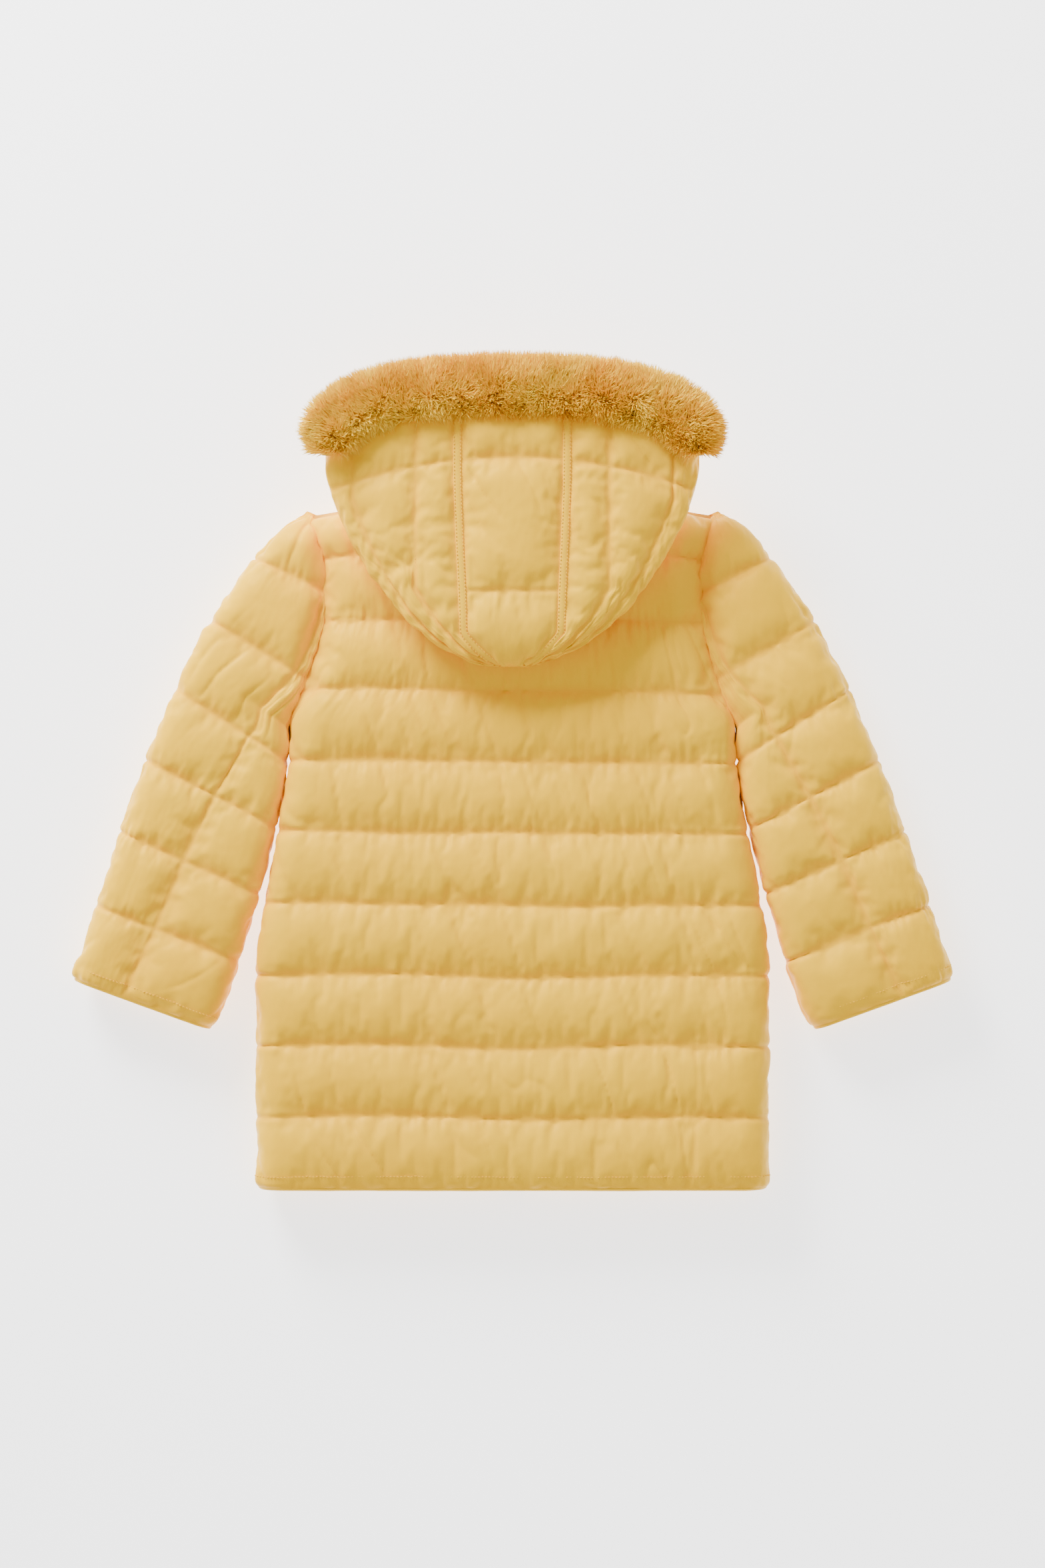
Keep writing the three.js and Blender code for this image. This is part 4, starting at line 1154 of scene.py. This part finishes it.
def collarRing(flat, r):
    # the collar's oval outline, from the zip round the back of the neck to the zip again
    bend = math.pi * r
    total = 2 * (2 * flat + bend)
    points = []
    for d in np.linspace(collar["gap"], total - collar["gap"], collar["points"]):
        if d < flat:
            points.append((d, -r))
        elif d < flat + bend:
            a = (d - flat) / r
            points.append((flat + r * math.sin(a), -r * math.cos(a)))
        elif d < 3 * flat + bend:
            points.append((flat - (d - flat - bend), r))
        elif d < 3 * flat + 2 * bend:
            a = (d - 3 * flat - bend) / r
            points.append((-flat - r * math.sin(a), r * math.cos(a)))
        else:
            points.append((-flat + (d - 3 * flat - 2 * bend), -r))
    return np.array(points)


def buildCollar():
    half = collarHigh.x - 0.002
    radius = (collarHigh.z - collarLow.z) / 2 - 0.001
    length = collarHigh.y - collarLow.y
    rows = collar["rows"]
    for inset, mat, slot, nodes, name in (
            (0.0, shellMat, "shell_fabric", ("collar_shell", "collar_padding"), "collarShell"),
            (collar["lining"], liningMat, "lining", ("collar_lining",), "collarLining")):
        ring = collarRing(half - radius, radius - inset)
        grid = np.zeros((rows, collar["points"], 3))
        for i in range(rows):
            t = i / (rows - 1)
            puff = collar["puff"] * math.sin(math.pi * min(t * 2 % 1.0, 1.0)) if inset == 0 else 0.0
            scale = 1.0 + (puff - collar["puff"]) / radius * (inset == 0)
            grid[i, :, 0] = ring[:, 0] * (1 - (1 - scale) * 0.3)
            grid[i, :, 1] = collarLow.y - collar["tuck"] + (length + 0.016) * t
            grid[i, :, 2] = radius + 0.001 + ring[:, 1] * scale
        piece = softPiece(name, grid, mat, "coat_body", flip=inset == 0, seed=101)
        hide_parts(*nodes)
        if inset == 0:
            outer = grid
        else:
            push = np.array([0, 0.003, 0])
            edgeRoll("collarEdge", outer[-1], grid[-1], push, "coat_body", flip=True, seed=102)


buildCollar()

neckStrip = {"half": 0.080, "rows": 8, "cols": 60, "collarY": 0.7255, "hoodY": 0.7215}


def buildNeckStrip():
    # the cloth that joins the collar's back edge to the hood
    x = np.linspace(-neckStrip["half"], neckStrip["half"], neckStrip["cols"])
    still = np.zeros_like(x)
    low = np.stack([x, still + neckStrip["collarY"] + hemY, still + collarHigh.z - 0.006], 1)
    high = np.stack([x, still + neckStrip["hoodY"] + hemY, still + hoodLow + 0.006], 1)
    rows = []
    for k in range(neckStrip["rows"]):
        t = k / (neckStrip["rows"] - 1)
        rows.append(low + (high - low) * t + np.array([0.0, 0.0035 * math.sin(math.pi * t), 0.0]))
    strip = softPiece("hoodNeckStrip", np.array(rows), shellMat, None, flip=True, seed=111)
    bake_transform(strip)


buildNeckStrip()

# Zip, pockets and neck fittings keep their own solids

teeth = {
    "pitch": 0.0030, "length": 0.0016,
    "outline": ((0.0010, 0.35), (0.0020, 0.5), (0.0026, 0.32), (0.0042, 0.42)),  # from the middle, half width
}


def buildTeeth():
    for word, sign in (("right", 1), ("left", -1)):
        low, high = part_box("zip_teeth_" + word)
        verts = []
        faces = []
        count = int((high.y - low.y) / teeth["pitch"])
        for k in range(count):
            y = low.y + (k + (0.5 if sign > 0 else 0.0)) * teeth["pitch"]
            first = len(verts)
            for z in (low.z, high.z):
                for x, w in teeth["outline"]:
                    verts.append((sign * x, y - w * teeth["length"], z))
                for x, w in reversed(teeth["outline"]):
                    verts.append((sign * x, y + w * teeth["length"], z))
            bottom = list(range(first, first + 8))
            top = list(range(first + 8, first + 16))
            faces.append(tuple(bottom[::-1]) if sign > 0 else tuple(bottom))
            faces.append(tuple(top) if sign > 0 else tuple(top[::-1]))
            for j in range(8):
                quad = (bottom[j], bottom[(j + 1) % 8], top[(j + 1) % 8], top[j])
                faces.append(quad if sign > 0 else quad[::-1])
        mesh = bpy.data.meshes.new(word + "ZipTeeth")
        mesh.from_pydata(verts, [], faces)
        mesh.materials.append(teethMat)
        piece = bpy.data.objects.new(word + "ZipTeeth", mesh)
        bpy.context.scene.collection.objects.link(piece)
        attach(piece, "coat_body")
        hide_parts("zip_teeth_" + word)


buildTeeth()

strips = {"step": 0.0035, "wrinkle": 0.0003, "bagLow": 0.0085, "strap": 0.003, "strapCorner": 0.006}


def clothStrip(name, path, half, low, high, mat, node, wrinkle=None):
    # a flat strip of cloth with soft edges, laid along a path in plan
    path = np.array(path)
    run = np.concatenate([[0.0], np.cumsum(np.linalg.norm(np.diff(path, axis=0), axis=1))])
    rows = max(int(run[-1] / strips["step"]), 4)
    at = np.linspace(0.0, run[-1], rows)
    line = np.stack([np.interp(at, run, path[:, k]) for k in (0, 1)], 1)
    way = np.gradient(line, axis=0)
    way /= np.linalg.norm(way, axis=1, keepdims=True)
    side = np.stack([way[:, 1], -way[:, 0]], 1)
    count = max(int(2 * half / strips["step"]), 4)
    a = np.linspace(-1.0, 1.0, count + 1)
    rise = (high - low) / 2 * np.sqrt(np.maximum(1.0 - np.abs(a) ** 6, 0.0))
    ring = np.concatenate([np.stack([a, rise], 1), np.stack([a[-2:0:-1], -rise[-2:0:-1]], 1)])
    verts = np.zeros((rows, len(ring), 3))
    verts[..., :2] = line[:, None, :] + side[:, None, :] * (ring[:, 0] * half)[None, :, None]
    verts[..., 2] = (low + high) / 2 + ring[None, :, 1]
    flat = verts * np.array([1.0, 1.0, 0.0])
    verts[..., 2] += (strips["wrinkle"] if wrinkle is None else wrinkle) * wander(flat, 45.0, 131)
    around = len(ring)
    faces = []
    for i in range(rows - 1):
        for j in range(around):
            k = (j + 1) % around
            faces.append((i * around + j, i * around + k, (i + 1) * around + k, (i + 1) * around + j))
    faces.append(tuple(range(around - 1, -1, -1)))
    faces.append(tuple((rows - 1) * around + j for j in range(around)))
    mesh = bpy.data.meshes.new(name)
    mesh.from_pydata(verts.reshape(-1, 3).tolist(), [], faces)
    mesh.materials.append(mat)
    mesh.polygons.foreach_set("use_smooth", [True] * len(mesh.polygons))
    piece = bpy.data.objects.new(name, mesh)
    bpy.context.scene.collection.objects.link(piece)
    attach(piece, "coat_body")
    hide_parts(node)
    return piece


def stripOver(name, node, mat, low=None, wrinkle=None):
    # a strip that fills the place of a plain one
    start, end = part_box(node)
    middle = (start.x + end.x) / 2
    path = [(middle, start.y), (middle, end.y)]
    bottom = start.z if low is None else low
    return clothStrip(name, path, (end.x - start.x) / 2, bottom, end.z, mat, node, wrinkle)


def buildFittings():
    guard = stripOver("windGuard", "wind_guard", shellMat, wrinkle=0.0008)
    start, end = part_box("wind_guard")
    stripOver("neckLabel", "neck_label", labelMat, wrinkle=0.0001)
    for word in ("right", "left"):
        stripOver(word + "ZipTape", "zip_tape_" + word, tapeMat, wrinkle=0.0001)
        stripOver(word + "PocketWelt", word + "_pocket_welt", shellMat, wrinkle=0.0002)
        stripOver(word + "PocketBag", word + "_pocket_bag", liningMat, strips["bagLow"], 0.0006)
    start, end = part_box("hanger_loop")
    strap = strips["strap"]
    corner = strips["strapCorner"]
    left, right, low = start.x + strap, end.x - strap, start.y + strap
    near = 0.3 * corner
    path = [(left, end.y), (left, low + corner), (left + near, low + near), (left + corner, low),
            (right - corner, low), (right - near, low + near), (right, low + corner), (right, end.y)]
    clothStrip("hangerLoop", path, strap, start.z, end.z, tapeMat, "hanger_loop")


buildFittings()

looks = {
    "zip_slider": metalMat, "zip_pull": metalMat, "zip_retaining_box": metalMat,
    "zip_insertion_pin": metalMat, "zip_top_stop_right": metalMat, "zip_top_stop_left": metalMat,
}
for node, mat in looks.items():
    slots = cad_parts[node].material_slots
    if slots:
        slots[0].material = mat
    else:
        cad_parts[node].data.materials.append(mat)
print("zip and fittings finished")

# Floor and light

studio = {
    "floor": (0.97, 0.97, 0.975), "size": 12.0, "glow": 2.2,
    "world": (1.0, 1.0, 1.0), "worldStrength": 0.8, "key": 260.0, "fill": 12.0,
}


def buildStudio():
    mesh = bpy.data.meshes.new("studioFloor")
    half = studio["size"]
    corners = [(-half, -half, 0), (half, -half, 0), (half, half, 0), (-half, half, 0)]
    mesh.from_pydata(corners, [], [(0, 1, 2, 3)])
    finish = Finish("paleFloor")
    speck = finish.grain(3.0, 2.0)
    finish.set(Base_Color=finish.blend(speck, studio["floor"], (0.98, 0.975, 0.98)), Roughness=0.9)
    finish.set(Emission_Color=(1.0, 1.0, 1.0, 1.0), Emission_Strength=studio["glow"])
    mesh.materials.append(finish.mat)
    floor = bpy.data.objects.new("studioFloor", mesh)
    bpy.context.scene.collection.objects.link(floor)
    for name, place, size, power in (
            ("keyLight", (-1.5, 2.6, 1.5), 1.4, studio["key"]),
            ("fillLight", (2.4, -1.8, 2.6), 2.6, studio["fill"])):
        data = bpy.data.lights.new(name, "AREA")
        data.size = size
        data.energy = power
        light = bpy.data.objects.new(name, data)
        light.location = place
        light.rotation_euler = (Vector((0, 0, 0)) - Vector(place)).to_track_quat("-Z", "Y").to_euler()
        bpy.context.scene.collection.objects.link(light)
    world = bpy.data.worlds.new("studioWorld")
    bpy.context.scene.world = world
    world.use_nodes = True
    background = world.node_tree.nodes["Background"]
    background.inputs[0].default_value = (*studio["world"], 1.0)
    background.inputs[1].default_value = studio["worldStrength"]


buildStudio()
print("studio set")
